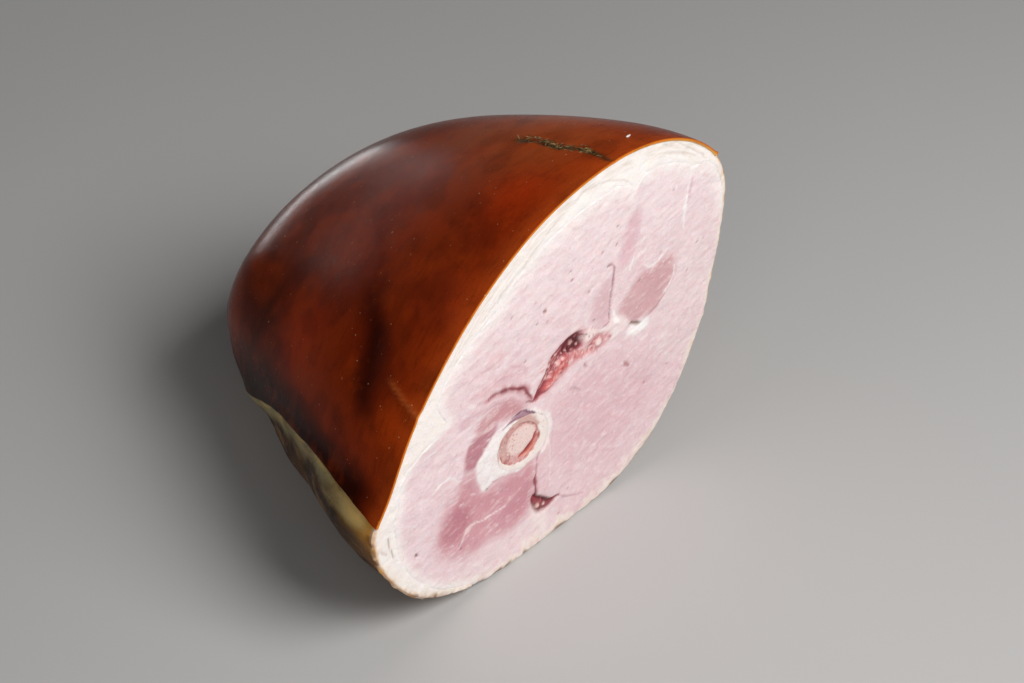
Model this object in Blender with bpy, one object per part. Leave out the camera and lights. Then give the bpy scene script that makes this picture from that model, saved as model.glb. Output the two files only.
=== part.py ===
"""Smoked ham, the rump half of a leg on the bone, sawn across the thigh.

The sawn face stands upright at y = 0 and looks along -Y. The ham runs back from it to a rounded end.
It lies on its trimmed side, so the rind is on top. The sizes below are measured from the sawn face and
from the surface that the ham stands on. One empty then centres the ham over the origin. Metres, +Z up.
"""

import math

import bmesh
import bpy
from mathutils import Matrix, Vector

# Driving dimensions of the whole ham.
LENGTH = 0.185  # from the sawn face to the rounded end
# The sawn face's outline, anticlockwise as seen from the front, starting under the middle: (x, z).
CUT_OUTLINE = [
    (0.000, -0.001),
    (0.045, 0.002),
    (0.081, 0.022),
    (0.107, 0.062),
    (0.120, 0.112),
    (0.120, 0.148),
    (0.100, 0.174),
    (0.067, 0.191),
    (0.028, 0.195),
    (-0.016, 0.186),
    (-0.057, 0.162),
    (-0.091, 0.127),
    (-0.110, 0.094),
    (-0.121, 0.072),
    (-0.111, 0.043),
    (-0.087, 0.016),
    (-0.048, 0.001),
]
AXIS_HEIGHT = 0.098  # the outline shrinks towards this height as it goes back

# How the outline closes towards the rounded end, as powers of the share of the length.
RIND_SIDE_TAPER = (2.5, 3.2)
TRIMMED_SIDE_TAPER = (1.2, 2.25)  # closes sooner, because that side was trimmed round
TAPER_BLEND = 0.130  # height over which the one taper turns into the other
# Shift of the middle of the ham along x and z. The powers say how slowly it starts behind the saw cut.
BOW = (0.0115, -0.026)
BOW_ONSET = (2.1, 1.55)
TIP_SHIFT = Vector((-0.005, 0.0, -0.041))  # shift of the rounded end itself
TIP_SHIFT_POWER = 5

# The fat under the rind: its depth in metres, and swellings as (place round the outline, width, extra).
FAT_DEPTH = 0.0105
FAT_SWELLINGS = [(0.43, 0.035, 0.004), (0.665, 0.060, 0.007), (0.775, 0.030, 0.003)]
FAT_DEPTH_AT_TIP = 0.009
# The fat ends at this plane: height at x = y = 0, rise towards +X and fall towards +Y.
FAT_EDGE_HEIGHT = 0.065
FAT_EDGE_RISE = 0.53
FAT_EDGE_FALL = 0.09
FAT_EDGE_RAMP = 0.024  # width over which the fat gets its depth
OUTSIDE = -0.010  # how far the cutter stands out where there is no fat
GAP = 0.0003  # between touching pieces

# The thigh bone and its marrow, both sawn through at the face.
BONE_CENTRE = Vector((-0.025, 0.0, 0.0715))
BONE_WIDTH = 0.035
BONE_HEIGHT = 0.031
BONE_LENGTH = 0.130
BONE_END_ROUNDING = 0.008
MARROW_CENTRE = Vector((-0.0265, 0.0, 0.0725))
MARROW_WIDTH = 0.027
MARROW_HEIGHT = 0.023
MARROW_LENGTH = 0.118

# The gap between two muscles, where the blood vessels ran: (x, z, half width, depth) along it.
VESSEL_GAP = [
    (-0.0155, 0.0895, 0.0012, 0.003),
    (-0.007, 0.0945, 0.0032, 0.005),
    (0.003, 0.1005, 0.0046, 0.006),
    (0.013, 0.1045, 0.0052, 0.006),
    (0.020, 0.1035, 0.0030, 0.004),
]

# How finely the solids are divided.
ROUND_STEPS = 76
LENGTH_STEPS = 17
BONE_STEPS = 32
FRONT_OVERRUN = 0.012  # how far a cutter stands out in front of the sawn face
SHARP_ANGLE = math.radians(40)


def spline_point(before, start, end, after, share):
    """Point on a Catmull-Rom curve between start and end."""
    return 0.5 * (
        2 * start
        + (end - before) * share
        + (2 * before - 5 * start + 4 * end - after) * share**2
        + (3 * start - before - 3 * end + after) * share**3
    )


def even_outline(corners, count, per_span=24):
    """count points at even steps along the closed smooth curve through the corners, as (x, 0, z)."""
    knots = [Vector((x, 0.0, z)) for x, z in corners]
    fine = []
    for i in range(len(knots)):
        before, start, end, after = (knots[(i + j) % len(knots)] for j in (-1, 0, 1, 2))
        fine += [spline_point(before, start, end, after, s / per_span) for s in range(per_span)]
    fine.append(fine[0])
    runs = [0.0]
    for a, b in zip(fine, fine[1:]):
        runs.append(runs[-1] + (b - a).length)
    points, j = [], 0
    for i in range(count):
        want = runs[-1] * i / count
        while runs[j + 1] < want:
            j += 1
        share = (want - runs[j]) / (runs[j + 1] - runs[j])
        points.append(fine[j].lerp(fine[j + 1], share))
    return points


def smooth_step(value):
    """0 below 0, 1 above 1, and smooth between."""
    value = min(1.0, max(0.0, value))
    return value * value * (3 - 2 * value)


def closing(share, powers):
    """Size of the outline at a share of the length, from 1 at the face to 0 at the rounded end."""
    along, across = powers
    return max(0.0, 1.0 - share**along) ** (1.0 / across)


def skin_point(edge, share):
    """Point of the ham's outside that lies behind edge, a point of the face's outline."""
    axis = Vector((0.0, 0.0, AXIS_HEIGHT))
    reach = edge - axis
    low = smooth_step(0.5 - reach.z / TAPER_BLEND)
    size = closing(share, RIND_SIDE_TAPER) * (1 - low) + closing(share, TRIMMED_SIDE_TAPER) * low
    bow_x, bow_z = [most * math.sin(math.pi * share**onset) for most, onset in zip(BOW, BOW_ONSET)]
    shift = Vector((bow_x, 0.0, bow_z)) + TIP_SHIFT * share**TIP_SHIFT_POWER
    return axis + shift + reach * size + Vector((0.0, LENGTH * share, 0.0))


def skin_rings(outline):
    """The outside as rings of points, from the face back to the last ring before the tip."""
    shares = [math.sin(0.5 * math.pi * i / LENGTH_STEPS) for i in range(LENGTH_STEPS)]
    return [[skin_point(edge, share) for edge in outline] for share in shares]


def skin_normals(rings, tip):
    """Outward directions at the points of rings."""
    normals = []
    for i, ring in enumerate(rings):
        ahead = rings[i + 1] if i + 1 < len(rings) else [tip] * len(ring)
        behind = rings[i - 1] if i else ring
        row = []
        for k in range(len(ring)):
            round_way = ring[(k + 1) % len(ring)] - ring[k - 1]
            back_way = ahead[k] - behind[k]
            row.append(back_way.cross(round_way).normalized())
        normals.append(row)
    return normals


def fat_depth(place, share):
    """Depth of the fat at a place round the outline, 0 to 1, and a share of the length."""
    swell = sum(extra * math.exp(-(((place - at) / width) ** 2)) for at, width, extra in FAT_SWELLINGS)
    return (FAT_DEPTH + swell) * (1 - share**3) + FAT_DEPTH_AT_TIP * share**3


def meat_depth(point, place, share):
    """How far the meat's surface lies inside the ham's outside; negative where there is no fat."""
    edge = FAT_EDGE_HEIGHT + FAT_EDGE_RISE * point.x - FAT_EDGE_FALL * point.y
    covered = smooth_step((point.z - edge) / FAT_EDGE_RAMP + 0.5)
    return OUTSIDE * (1 - covered) + fat_depth(place, share) * covered


def loft(name, rings, tip):
    """Closed mesh over rings of points, capped flat at the first ring and closed to the tip."""
    bm = bmesh.new()
    rows = [[bm.verts.new(point) for point in ring] for ring in rings]
    end = bm.verts.new(tip)
    count = len(rings[0])
    bm.faces.new(rows[0])
    for near, far in zip(rows, rows[1:]):
        for k in range(count):
            bm.faces.new((near[k], far[k], far[(k + 1) % count], near[(k + 1) % count]))
    for k in range(count):
        bm.faces.new((rows[-1][k], end, rows[-1][(k + 1) % count]))
    bmesh.ops.triangulate(bm, faces=bm.faces, quad_method="FIXED")
    bmesh.ops.recalc_face_normals(bm, faces=bm.faces)
    return new_object(name, bm)


def new_object(name, bm):
    """Object from a bmesh, which is freed."""
    mesh = bpy.data.meshes.new(name)
    bm.to_mesh(mesh)
    bm.free()
    return bpy.data.objects.new(name, mesh)


def stand_flat(item):
    """Cuts off what lies below the surface, which leaves the flat that the ham rests on."""
    bm = bmesh.new()
    bm.from_mesh(item.data)
    geometry = bm.verts[:] + bm.edges[:] + bm.faces[:]
    cut = bmesh.ops.bisect_plane(
        bm, geom=geometry, dist=1e-6, plane_co=(0, 0, 0), plane_no=(0, 0, 1), clear_inner=True
    )
    rim = [part for part in cut["geom_cut"] if isinstance(part, bmesh.types.BMEdge)]
    bmesh.ops.holes_fill(bm, edges=rim)
    bmesh.ops.recalc_face_normals(bm, faces=bm.faces)
    bm.to_mesh(item.data)
    bm.free()
    return item


def ham_envelope(name):
    """The whole ham as one solid, with its flat underside."""
    rings = skin_rings(even_outline(CUT_OUTLINE, ROUND_STEPS))
    return stand_flat(loft(name, rings, skin_point(Vector((0, 0, AXIS_HEIGHT)), 1.0)))


def meat_core(name, grow):
    """What lies inside the fat, wider than the ham where there is none, and longer at the front."""
    rings = skin_rings(even_outline(CUT_OUTLINE, ROUND_STEPS))
    tip = skin_point(Vector((0, 0, AXIS_HEIGHT)), 1.0)
    normals = skin_normals(rings, tip)
    inner = []
    for i, (ring, row) in enumerate(zip(rings, normals)):
        share = math.sin(0.5 * math.pi * i / LENGTH_STEPS)
        moved = []
        for k, (point, normal) in enumerate(zip(ring, row)):
            moved.append(point - normal * (meat_depth(point, k / ROUND_STEPS, share) - grow))
        inner.append(moved)
    for point in inner[0]:
        point.y = 0.0
    front = [Vector((point.x, -FRONT_OVERRUN, point.z)) for point in inner[0]]
    return loft(name, [front, *inner], tip - Vector((0, FAT_DEPTH_AT_TIP - grow, 0)))


def oval_rod(centre, width, height, start, end):
    """Bmesh of a rod of oval section along +Y, from y = start to y = end."""
    bm = bmesh.new()
    bmesh.ops.create_cone(
        bm, cap_ends=True, segments=BONE_STEPS, radius1=0.5, radius2=0.5, depth=end - start
    )
    bmesh.ops.rotate(bm, verts=bm.verts, cent=(0, 0, 0), matrix=Matrix.Rotation(math.pi / 2, 3, "X"))
    bmesh.ops.scale(bm, verts=bm.verts, vec=(width, 1.0, height))
    bmesh.ops.translate(bm, verts=bm.verts, vec=centre + Vector((0, (start + end) / 2, 0)))
    return bm


def thigh_bone(name, clearance=0.0):
    """The bone's shaft, with its hidden end rounded off; with clearance, the cutter for its socket."""
    start = -FRONT_OVERRUN if clearance else 0.0
    end = BONE_LENGTH + clearance
    spare = 2 * clearance
    bm = oval_rod(BONE_CENTRE, BONE_WIDTH + spare, BONE_HEIGHT + spare, start, end)
    rim = [edge for edge in bm.edges if all(vert.co.y > end - 1e-6 for vert in edge.verts)]
    bmesh.ops.bevel(
        bm, geom=rim, offset=BONE_END_ROUNDING, segments=3, profile=0.5, affect="EDGES", material=-1
    )
    bmesh.ops.recalc_face_normals(bm, faces=bm.faces)
    return new_object(name, bm)


def marrow_rod(name, clearance=0.0):
    """The marrow in the bone; with clearance, the cutter for its bore."""
    start = -FRONT_OVERRUN if clearance else 0.0
    end = MARROW_LENGTH + clearance
    spare = 2 * clearance
    bm = oval_rod(MARROW_CENTRE, MARROW_WIDTH + spare, MARROW_HEIGHT + spare, start, end)
    bmesh.ops.recalc_face_normals(bm, faces=bm.faces)
    return new_object(name, bm)


def vessel_gap(name):
    """Cutter for the gap where the blood vessels ran: a tapering trough sunk in the sawn face."""
    profile = [(-1.0, -1.0), (-1.0, 0.0), (-0.62, 0.75), (0.0, 1.0), (0.62, 0.75), (1.0, 0.0), (1.0, -1.0)]
    stations = [Vector((x, 0, z)) for x, z, _, _ in VESSEL_GAP]
    bm = bmesh.new()
    rows = []
    for i, (_, _, half, depth) in enumerate(VESSEL_GAP):
        along = (stations[min(i + 1, len(stations) - 1)] - stations[max(i - 1, 0)]).normalized()
        across = along.cross(Vector((0, 1, 0)))
        row = [stations[i] + across * (half * u) + Vector((0, depth * v, 0)) for u, v in profile]
        rows.append([bm.verts.new(point) for point in row])
    count = len(profile)
    bm.faces.new(rows[0])
    bm.faces.new(rows[-1])
    for near, far in zip(rows, rows[1:]):
        for k in range(count):
            bm.faces.new((near[k], near[(k + 1) % count], far[(k + 1) % count], far[k]))
    bmesh.ops.recalc_face_normals(bm, faces=bm.faces)
    return new_object(name, bm)


def combine(item, cutter, operation):
    """Adds an exact Boolean modifier to item."""
    modifier = item.modifiers.new(cutter.name, "BOOLEAN")
    modifier.operation = operation
    modifier.solver = "EXACT"
    modifier.object = cutter


def finish_material(name, colour, roughness):
    """Plain material of a sub-part."""
    material = bpy.data.materials.new(name)
    material.use_nodes = True
    shader = material.node_tree.nodes["Principled BSDF"]
    shader.inputs["Base Color"].default_value = (*colour, 1.0)
    shader.inputs["Roughness"].default_value = roughness
    shader.inputs["Metallic"].default_value = 0.0
    return material


def add_part(item, collection, centring, material):
    """Links a sub-part under the empty that centres the ham, and gives it its material."""
    collection.objects.link(item)
    item.parent = centring
    item.data.materials.append(material)
    item.data.shade_smooth()
    item.data.set_sharp_from_angle(angle=SHARP_ANGLE)
    return item


def add_cutter(item, collection, centring):
    """Links a cutter, which isn't part of the ham."""
    collection.objects.link(item)
    item.parent = centring
    item.hide_render = True
    item.display_type = "WIRE"
    return item


def main():
    for item in list(bpy.data.objects):
        bpy.data.objects.remove(item)
    ham = bpy.data.collections.new("smoked_ham")
    cutters = bpy.data.collections.new("cutters")
    bpy.context.scene.collection.children.link(ham)
    bpy.context.scene.collection.children.link(cutters)

    whole = ham_envelope("whole_ham")
    sides = [vert.co.x for vert in whole.data.vertices]
    centring = bpy.data.objects.new("centring", None)
    centring.location = (-(min(sides) + max(sides)) / 2, -LENGTH / 2, 0)
    ham.objects.link(centring)

    add_cutter(whole, cutters, centring)
    core = add_cutter(meat_core("inside_of_fat", GAP / 2), cutters, centring)
    socket = add_cutter(thigh_bone("bone_socket", GAP), cutters, centring)
    bore = add_cutter(marrow_rod("marrow_bore", GAP), cutters, centring)
    vessels = add_cutter(vessel_gap("vessel_trough"), cutters, centring)

    smoked = finish_material("smoked_rind_and_fat", (0.26, 0.05, 0.015), 0.35)
    fat = add_part(ham_envelope("fat_layer"), ham, centring, smoked)
    combine(fat, core, "DIFFERENCE")

    cured = finish_material("cured_lean", (0.72, 0.42, 0.42), 0.45)
    lean = add_part(meat_core("lean", -GAP / 2), ham, centring, cured)
    combine(lean, whole, "INTERSECT")
    combine(lean, socket, "DIFFERENCE")
    combine(lean, vessels, "DIFFERENCE")

    ivory = finish_material("sawn_bone", (0.80, 0.72, 0.58), 0.50)
    femur = add_part(thigh_bone("thigh_bone"), ham, centring, ivory)
    combine(femur, bore, "DIFFERENCE")

    rosy = finish_material("marrow", (0.72, 0.45, 0.36), 0.55)
    add_part(marrow_rod("marrow"), ham, centring, rosy)


main()
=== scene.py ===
"""Looks of the smoked half ham: sawn lean, fat, smoked rind, thigh bone and marrow, on a pale floor.

Shapes are worked out in the ham's own measures: x across the sawn face, y back from it and z up from
the surface that it stands on. place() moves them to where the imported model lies.
"""

import math

import bmesh
import bpy
import numpy as np
from mathutils import Matrix, Vector


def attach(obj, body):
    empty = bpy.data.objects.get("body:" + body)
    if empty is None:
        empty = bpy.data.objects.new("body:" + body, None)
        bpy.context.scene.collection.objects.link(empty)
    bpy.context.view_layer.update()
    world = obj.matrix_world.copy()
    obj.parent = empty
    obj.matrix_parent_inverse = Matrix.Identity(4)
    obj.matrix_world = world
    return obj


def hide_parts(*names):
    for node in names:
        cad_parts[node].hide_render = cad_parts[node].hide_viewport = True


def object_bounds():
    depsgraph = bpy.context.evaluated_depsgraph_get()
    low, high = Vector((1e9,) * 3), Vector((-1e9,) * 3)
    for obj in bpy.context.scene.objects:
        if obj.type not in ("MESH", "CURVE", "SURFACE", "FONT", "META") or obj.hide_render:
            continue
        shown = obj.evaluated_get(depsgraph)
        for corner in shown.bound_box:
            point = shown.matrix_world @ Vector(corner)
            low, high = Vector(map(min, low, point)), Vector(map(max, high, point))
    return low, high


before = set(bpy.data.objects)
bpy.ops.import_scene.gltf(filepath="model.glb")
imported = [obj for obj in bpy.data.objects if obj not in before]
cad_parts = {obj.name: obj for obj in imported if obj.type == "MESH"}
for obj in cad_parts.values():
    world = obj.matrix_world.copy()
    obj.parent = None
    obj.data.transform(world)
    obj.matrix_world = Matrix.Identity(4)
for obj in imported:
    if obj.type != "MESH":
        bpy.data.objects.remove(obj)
CAD_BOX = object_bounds()

MM = 0.001

# The ham's form, as the solids have it.
LENGTH = 0.185
AXIS_HEIGHT = 0.098
CUT_OUTLINE = [
    (0.000, -0.001),
    (0.045, 0.002),
    (0.081, 0.022),
    (0.107, 0.062),
    (0.120, 0.112),
    (0.120, 0.148),
    (0.100, 0.174),
    (0.067, 0.191),
    (0.028, 0.195),
    (-0.016, 0.186),
    (-0.057, 0.162),
    (-0.091, 0.127),
    (-0.110, 0.094),
    (-0.121, 0.072),
    (-0.111, 0.043),
    (-0.087, 0.016),
    (-0.048, 0.001),
]
RIND_SIDE_TAPER = (2.5, 3.2)
TRIMMED_SIDE_TAPER = (1.2, 2.25)
TAPER_BLEND = 0.130
BOW = (0.0115, -0.026)
BOW_ONSET = (2.1, 1.55)
TIP_SHIFT = (-0.005, -0.041)
TIP_SHIFT_POWER = 5

# Depth of the fat at the sawn face in millimetres, by place round the outline from 0 to 1.
FAT_DEPTHS = [
    (0.280, 0.0), (0.300, 2.5), (0.325, 3.8), (0.340, 4.6), (0.351, 6.8), (0.363, 11.4),
    (0.390, 11.6), (0.410, 13.0), (0.427, 15.2), (0.4365, 21.5), (0.446, 18.0), (0.460, 15.4),
    (0.500, 14.2), (0.540, 13.6), (0.560, 14.6), (0.575, 13.0), (0.598, 15.4), (0.615, 12.6),
    (0.635, 9.6), (0.655, 8.6), (0.668, 9.2), (0.676, 12.0), (0.684, 23.5), (0.690, 24.0),
    (0.701, 19.0), (0.711, 13.0), (0.722, 8.2), (0.730, 7.2), (0.740, 8.6), (0.750, 11.6),
    (0.765, 13.4), (0.780, 13.8), (0.800, 11.6), (0.815, 9.6), (0.832, 8.4), (0.850, 7.4),
    (0.870, 6.2), (0.890, 4.0), (0.915, 1.8), (0.940, 0.0),
]
FAT_DEPTH_BEHIND = 0.011
FAT_EDGE = (0.065, 0.53, -0.09)  # height of the fat's lower edge: at the middle, per x and per y
RIND_EDGE = (0.1225, 0.349, -2.5)  # height of the rind's lower edge: at the middle, per x, per y squared
RIND_THICKNESS = 0.0016
# Bone ring at the saw cut, outside and inside: middle, width, height and turn in degrees.
BONE_OUTER = ((-0.0232, 0.0704), 0.0362, 0.0296, -22.0)
BONE_INNER = ((-0.0256, 0.0711), 0.0282, 0.0218, -24.0)
BONE_LENGTH = 0.130
MARROW_LENGTH = 0.118


def smooth(value):
    """0 below 0, 1 above 1, and smooth between."""
    value = np.clip(value, 0.0, 1.0)
    return value * value * (3 - 2 * value)


def waves(points, size, seed, count=18):
    """Smooth random relief, mostly between -1 and 1, with bumps about size across."""
    rng = np.random.default_rng(seed)
    ways = rng.normal(size=(count, points.shape[1]))
    ways /= np.linalg.norm(ways, axis=1)[:, None]
    ways *= rng.uniform(0.55, 1.45, (count, 1)) * math.pi / size
    turns = rng.uniform(0, 2 * math.pi, count)
    return np.sin(points @ ways.T + turns).sum(1) * math.sqrt(2.0 / count) / 1.6


def curve_through(corners, closed, per_span=12):
    """Smooth curve through the corners, as rows of points."""
    knots = np.array(corners, float)
    if closed:
        padded = np.vstack([knots[-1:], knots, knots[:2]])
    else:
        padded = np.vstack([2 * knots[:1] - knots[1:2], knots, 2 * knots[-1:] - knots[-2:-1]])
    s = np.linspace(0, 1, per_span, endpoint=False)[:, None]
    spans = []
    for before, start, end, after in zip(padded, padded[1:], padded[2:], padded[3:]):
        bend = 2 * before - 5 * start + 4 * end - after
        twist = 3 * start - before - 3 * end + after
        spans.append(0.5 * (2 * start + (end - before) * s + bend * s**2 + twist * s**3))
    if not closed:
        spans.append(knots[-1:])
    return np.vstack(spans)


OUTLINE = curve_through(CUT_OUTLINE, closed=True, per_span=24)
OUTLINE = np.vstack([OUTLINE, OUTLINE[:1]])
OUTLINE_RUN = np.concatenate([[0], np.cumsum(np.linalg.norm(np.diff(OUTLINE, axis=0), axis=1))])
OUTLINE_SHARE = OUTLINE_RUN / OUTLINE_RUN[-1]
LOW, HIGH = CAD_BOX
SHIFT = np.array([LOW.x - OUTLINE[:, 0].min(), LOW.y, LOW.z])


def place(points):
    """Moves rows of points from the ham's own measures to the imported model's frame."""
    return points + SHIFT


def edge_at(k):
    """Points of the sawn face's outline at places k, from 0 to 1 anticlockwise from the bottom."""
    k = np.mod(k, 1.0)
    x = np.interp(k, OUTLINE_SHARE, OUTLINE[:, 0])
    return np.stack([x, np.interp(k, OUTLINE_SHARE, OUTLINE[:, 1])], -1)


def edge_normal(k):
    """Outward directions in the face's plane at places k."""
    run = edge_at(k + 0.004) - edge_at(k - 0.004)
    run /= np.linalg.norm(run, axis=1)[:, None]
    return np.stack([run[:, 1], -run[:, 0]], -1)


def closing(t, powers):
    """Size of the outline at shares t of the length, from 1 at the face to 0 at the rounded end."""
    along, across = powers
    return np.maximum(0.0, 1.0 - t**along) ** (1.0 / across)


def skin(k, t):
    """Points of the ham's outside at places k round it and shares t of its length."""
    edge = edge_at(k)
    reach_x, reach_z = edge[:, 0], edge[:, 1] - AXIS_HEIGHT
    low = smooth(0.5 - reach_z / TAPER_BLEND)
    size = closing(t, RIND_SIDE_TAPER) * (1 - low) + closing(t, TRIMMED_SIDE_TAPER) * low
    bow_x, bow_z = (most * np.sin(math.pi * t**onset) for most, onset in zip(BOW, BOW_ONSET))
    tip = t**TIP_SHIFT_POWER
    x = bow_x + TIP_SHIFT[0] * tip + reach_x * size
    z = AXIS_HEIGHT + bow_z + TIP_SHIFT[1] * tip + reach_z * size
    return np.stack([x, LENGTH * t, z], -1)


def skin_normal(k, t):
    """Outward directions of the ham's outside."""
    step = 2e-3
    round_way = skin(k + step, t) - skin(k - step, t)
    back_way = skin(k, np.minimum(t + step, 1.0)) - skin(k, np.maximum(t - step, 0.0))
    normal = np.cross(back_way, round_way)
    size = np.linalg.norm(normal, axis=1)[:, None]
    return np.where(size < 1e-10, (0.0, 1.0, 0.0), normal / np.maximum(size, 1e-10))


def carve_way(k, t):
    """Outward directions that lie in the face's plane at the face, so that the cut stays flat."""
    normal = skin_normal(k, t)
    flat = edge_normal(k)
    flat = np.stack([flat[:, 0], np.zeros(len(k)), flat[:, 1]], -1)
    share = smooth(t / 0.22)[:, None]
    way = flat * (1 - share) + normal * share
    return way / np.linalg.norm(way, axis=1)[:, None]


def fat_cover(points, ramp=0.024):
    """1 where fat covers the meat, 0 where the meat is bare, by height over the fat's lower edge."""
    height, rise, fall = FAT_EDGE
    over = points[:, 2] - height - rise * points[:, 0] - fall * points[:, 1]
    return smooth(over / ramp + 0.5)


def rind_edge(points):
    """Height of the rind's lower edge over or under each point, a little uneven."""
    height, rise, fall = RIND_EDGE
    flat = points[:, :2]
    uneven = 0.7 * MM * waves(flat, 0.034, 11) + 0.15 * MM * waves(flat, 0.008, 12)
    return height + rise * points[:, 0] + fall * points[:, 1] ** 2 + uneven


def fat_depth(k, t, points):
    """Depth of the fat below the ham's outside."""
    at, depth = np.array(FAT_DEPTHS).T
    front = np.interp(np.mod(k, 1.0), at, depth) * MM
    behind = FAT_DEPTH_BEHIND * fat_cover(points)
    share = smooth(t / 0.18)
    return front * (1 - share) + behind * share


def along_path(points, path):
    """Distance of points from a smooth path, and how far along it they lie, from 0 to 1."""
    best = np.full(len(points), 1e9)
    share = np.zeros(len(points))
    lengths = np.linalg.norm(np.diff(path, axis=0), axis=1)
    total, run = lengths.sum(), 0.0
    for start, end, length in zip(path, path[1:], lengths):
        way = (end - start) / max(length, 1e-9)
        s = np.clip((points - start) @ way, 0, length)
        gap = np.linalg.norm(points - start - s[:, None] * way, axis=1)
        near = gap < best
        best[near] = gap[near]
        share[near] = ((run + s) / total)[near]
        run += length
    return best, share


# Marks on the rind: paths as (x, y, z).
SCAR = [(0.039, 0.061, 0.180), (0.038, 0.051, 0.184), (0.038, 0.042, 0.187), (0.035, 0.030, 0.190),
        (0.037, 0.020, 0.193), (0.037, 0.011, 0.194), (0.036, 0.002, 0.195)]
CREASE = [(-0.083, 0.027, 0.131), (-0.086, 0.018, 0.130), (-0.089, 0.010, 0.129), (-0.091, 0.000, 0.127)]
DENT = [(-0.062, 0.056, 0.141), (-0.070, 0.050, 0.137), (-0.077, 0.044, 0.131), (-0.084, 0.038, 0.126),
        (-0.090, 0.033, 0.118)]


def rind_relief(points):
    """Height of the rind's hollow, crease, scar groove and uneven swell over the plain form."""
    swell = 0.50 * MM * waves(points, 0.075, 21) + 0.07 * MM * waves(points, 0.022, 22)
    relief = swell * (smooth(points[:, 1] / 0.02) * 0.8 + 0.2)
    gap, share = along_path(points, curve_through(DENT, closed=False))
    relief -= 2.2 * MM * np.exp(-((gap / 0.011) ** 2)) * np.sin(math.pi * np.clip(share, 0.06, 0.94))
    gap, share = along_path(points, curve_through(CREASE, closed=False))
    relief += 0.6 * MM * np.exp(-((gap / 0.0020) ** 2)) * smooth(share / 0.3)
    gap, share = along_path(points, curve_through(SCAR, closed=False))
    width = 0.0024 - 0.0010 * share
    relief -= 0.9 * MM * np.exp(-((gap / width) ** 2)) * smooth(share / 0.15)
    frayed = np.exp(-((gap / 0.0030) ** 4)) * smooth(share / 0.15)
    return relief + 0.5 * MM * frayed * waves(points, 0.0035, 23, 30)


def srgb(code):
    """Linear red, green and blue of an sRGB hex colour."""
    parts = np.array([int(code[i : i + 2], 16) for i in (1, 3, 5)]) / 255
    return np.where(parts <= 0.04045, parts / 12.92, ((parts + 0.055) / 1.055) ** 2.4)


def mix(colours, share, code):
    """Blends rows of colours towards one colour by each row's share."""
    return colours + np.asarray(share)[:, None] * (srgb(code) - colours)


class Painting:
    """Colour and relief of points on the sawn face, in millimetres, built up stroke by stroke."""

    def __init__(self, x, z, ground):
        self.flat = np.stack([x, z], -1)
        warp_x = 0.45 * waves(self.flat, 6.0, 31) + 0.12 * waves(self.flat, 2.2, 32)
        warp_z = 0.45 * waves(self.flat, 6.0, 33) + 0.12 * waves(self.flat, 2.2, 34)
        self.warped = self.flat + np.stack([warp_x, warp_z], -1)
        self.colour = np.tile(srgb(ground), (len(x), 1))
        self.relief = np.zeros(len(x))
        self.crust = np.zeros(len(x))

    def lay(self, share, code, relief=0.0):
        self.colour = mix(self.colour, share, code)
        self.relief += relief * share

    def stroke(self, path, width, code, strength=1.0, relief=0.0, taper=0.35):
        """A line: a seam, membrane or crack, width millimetres across, thinner at its ends."""
        line = curve_through(path, closed=False, per_span=5)
        spare = 3.0 * width + 2.0
        near = np.all(self.flat > line.min(0) - spare, 1) & np.all(self.flat < line.max(0) + spare, 1)
        if not near.any():
            return
        gap, share = along_path(self.warped[near], line)
        body = taper + (1 - taper) * np.sqrt(np.sin(math.pi * np.clip(share, 0, 1)))
        ragged = 1.0 + 0.35 * waves(self.flat[near], 3.0, 35)
        half = np.maximum(0.5 * width * body * ragged, 0.12)
        cover = np.zeros(len(self.flat))
        cover[near] = strength / (1.0 + (gap / half) ** 4)
        self.lay(cover, code, relief)

    def zone(self, corners, code, soft=2.0, strength=1.0, relief=0.0):
        """A patch inside a smooth outline, whose colour fades over soft millimetres."""
        loop = curve_through(corners, closed=True, per_span=5)
        loop = np.vstack([loop, loop[:1]])
        spare = 2.0 * soft + 2.0
        near = np.all(self.flat > loop.min(0) - spare, 1) & np.all(self.flat < loop.max(0) + spare, 1)
        if not near.any():
            return
        spots = self.warped[near]
        gap, _ = along_path(spots, loop)
        inside = np.zeros(len(spots), bool)
        for (x0, z0), (x1, z1) in zip(loop, loop[1:]):
            crosses = (z0 > spots[:, 1]) != (z1 > spots[:, 1])
            reach = x0 + (spots[:, 1] - z0) * (x1 - x0) / (z1 - z0 if z1 != z0 else 1e-9)
            inside ^= crosses & (spots[:, 0] < reach)
        cover = np.zeros(len(self.flat))
        cover[near] = strength * smooth(0.5 + np.where(inside, gap, -gap) / soft)
        self.lay(cover, code, relief)

    def spot(self, x, z, size, code, strength=1.0, relief=0.0, stretch=1.0, turn=0.0):
        """A round or oval spot, size millimetres across."""
        d = self.warped - (x, z)
        c, s = math.cos(math.radians(turn)), math.sin(math.radians(turn))
        along, across = (d[:, 0] * c + d[:, 1] * s) / stretch, -d[:, 0] * s + d[:, 1] * c
        self.lay(strength * np.exp(-((np.hypot(along, across) / (0.5 * size)) ** 4)), code, relief)


# Colours of the sawn face.
PALE_LEAN = "#ecd5d7"
ROSE_LEAN = "#cd8a94"
DEEP_ROSE = "#ad5c6c"
DUSTY_ROSE = "#c0747a"
WHITE_FAT = "#f6ece6"
CREAM_FAT = "#f0dfc8"
WINE = "#6e1f2a"
BLACKISH = "#2c0d10"
SALMON = "#cf6f6a"
BONE_IVORY = "#f2e5de"
MARROW_PINK = "#e0aeaa"


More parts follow.
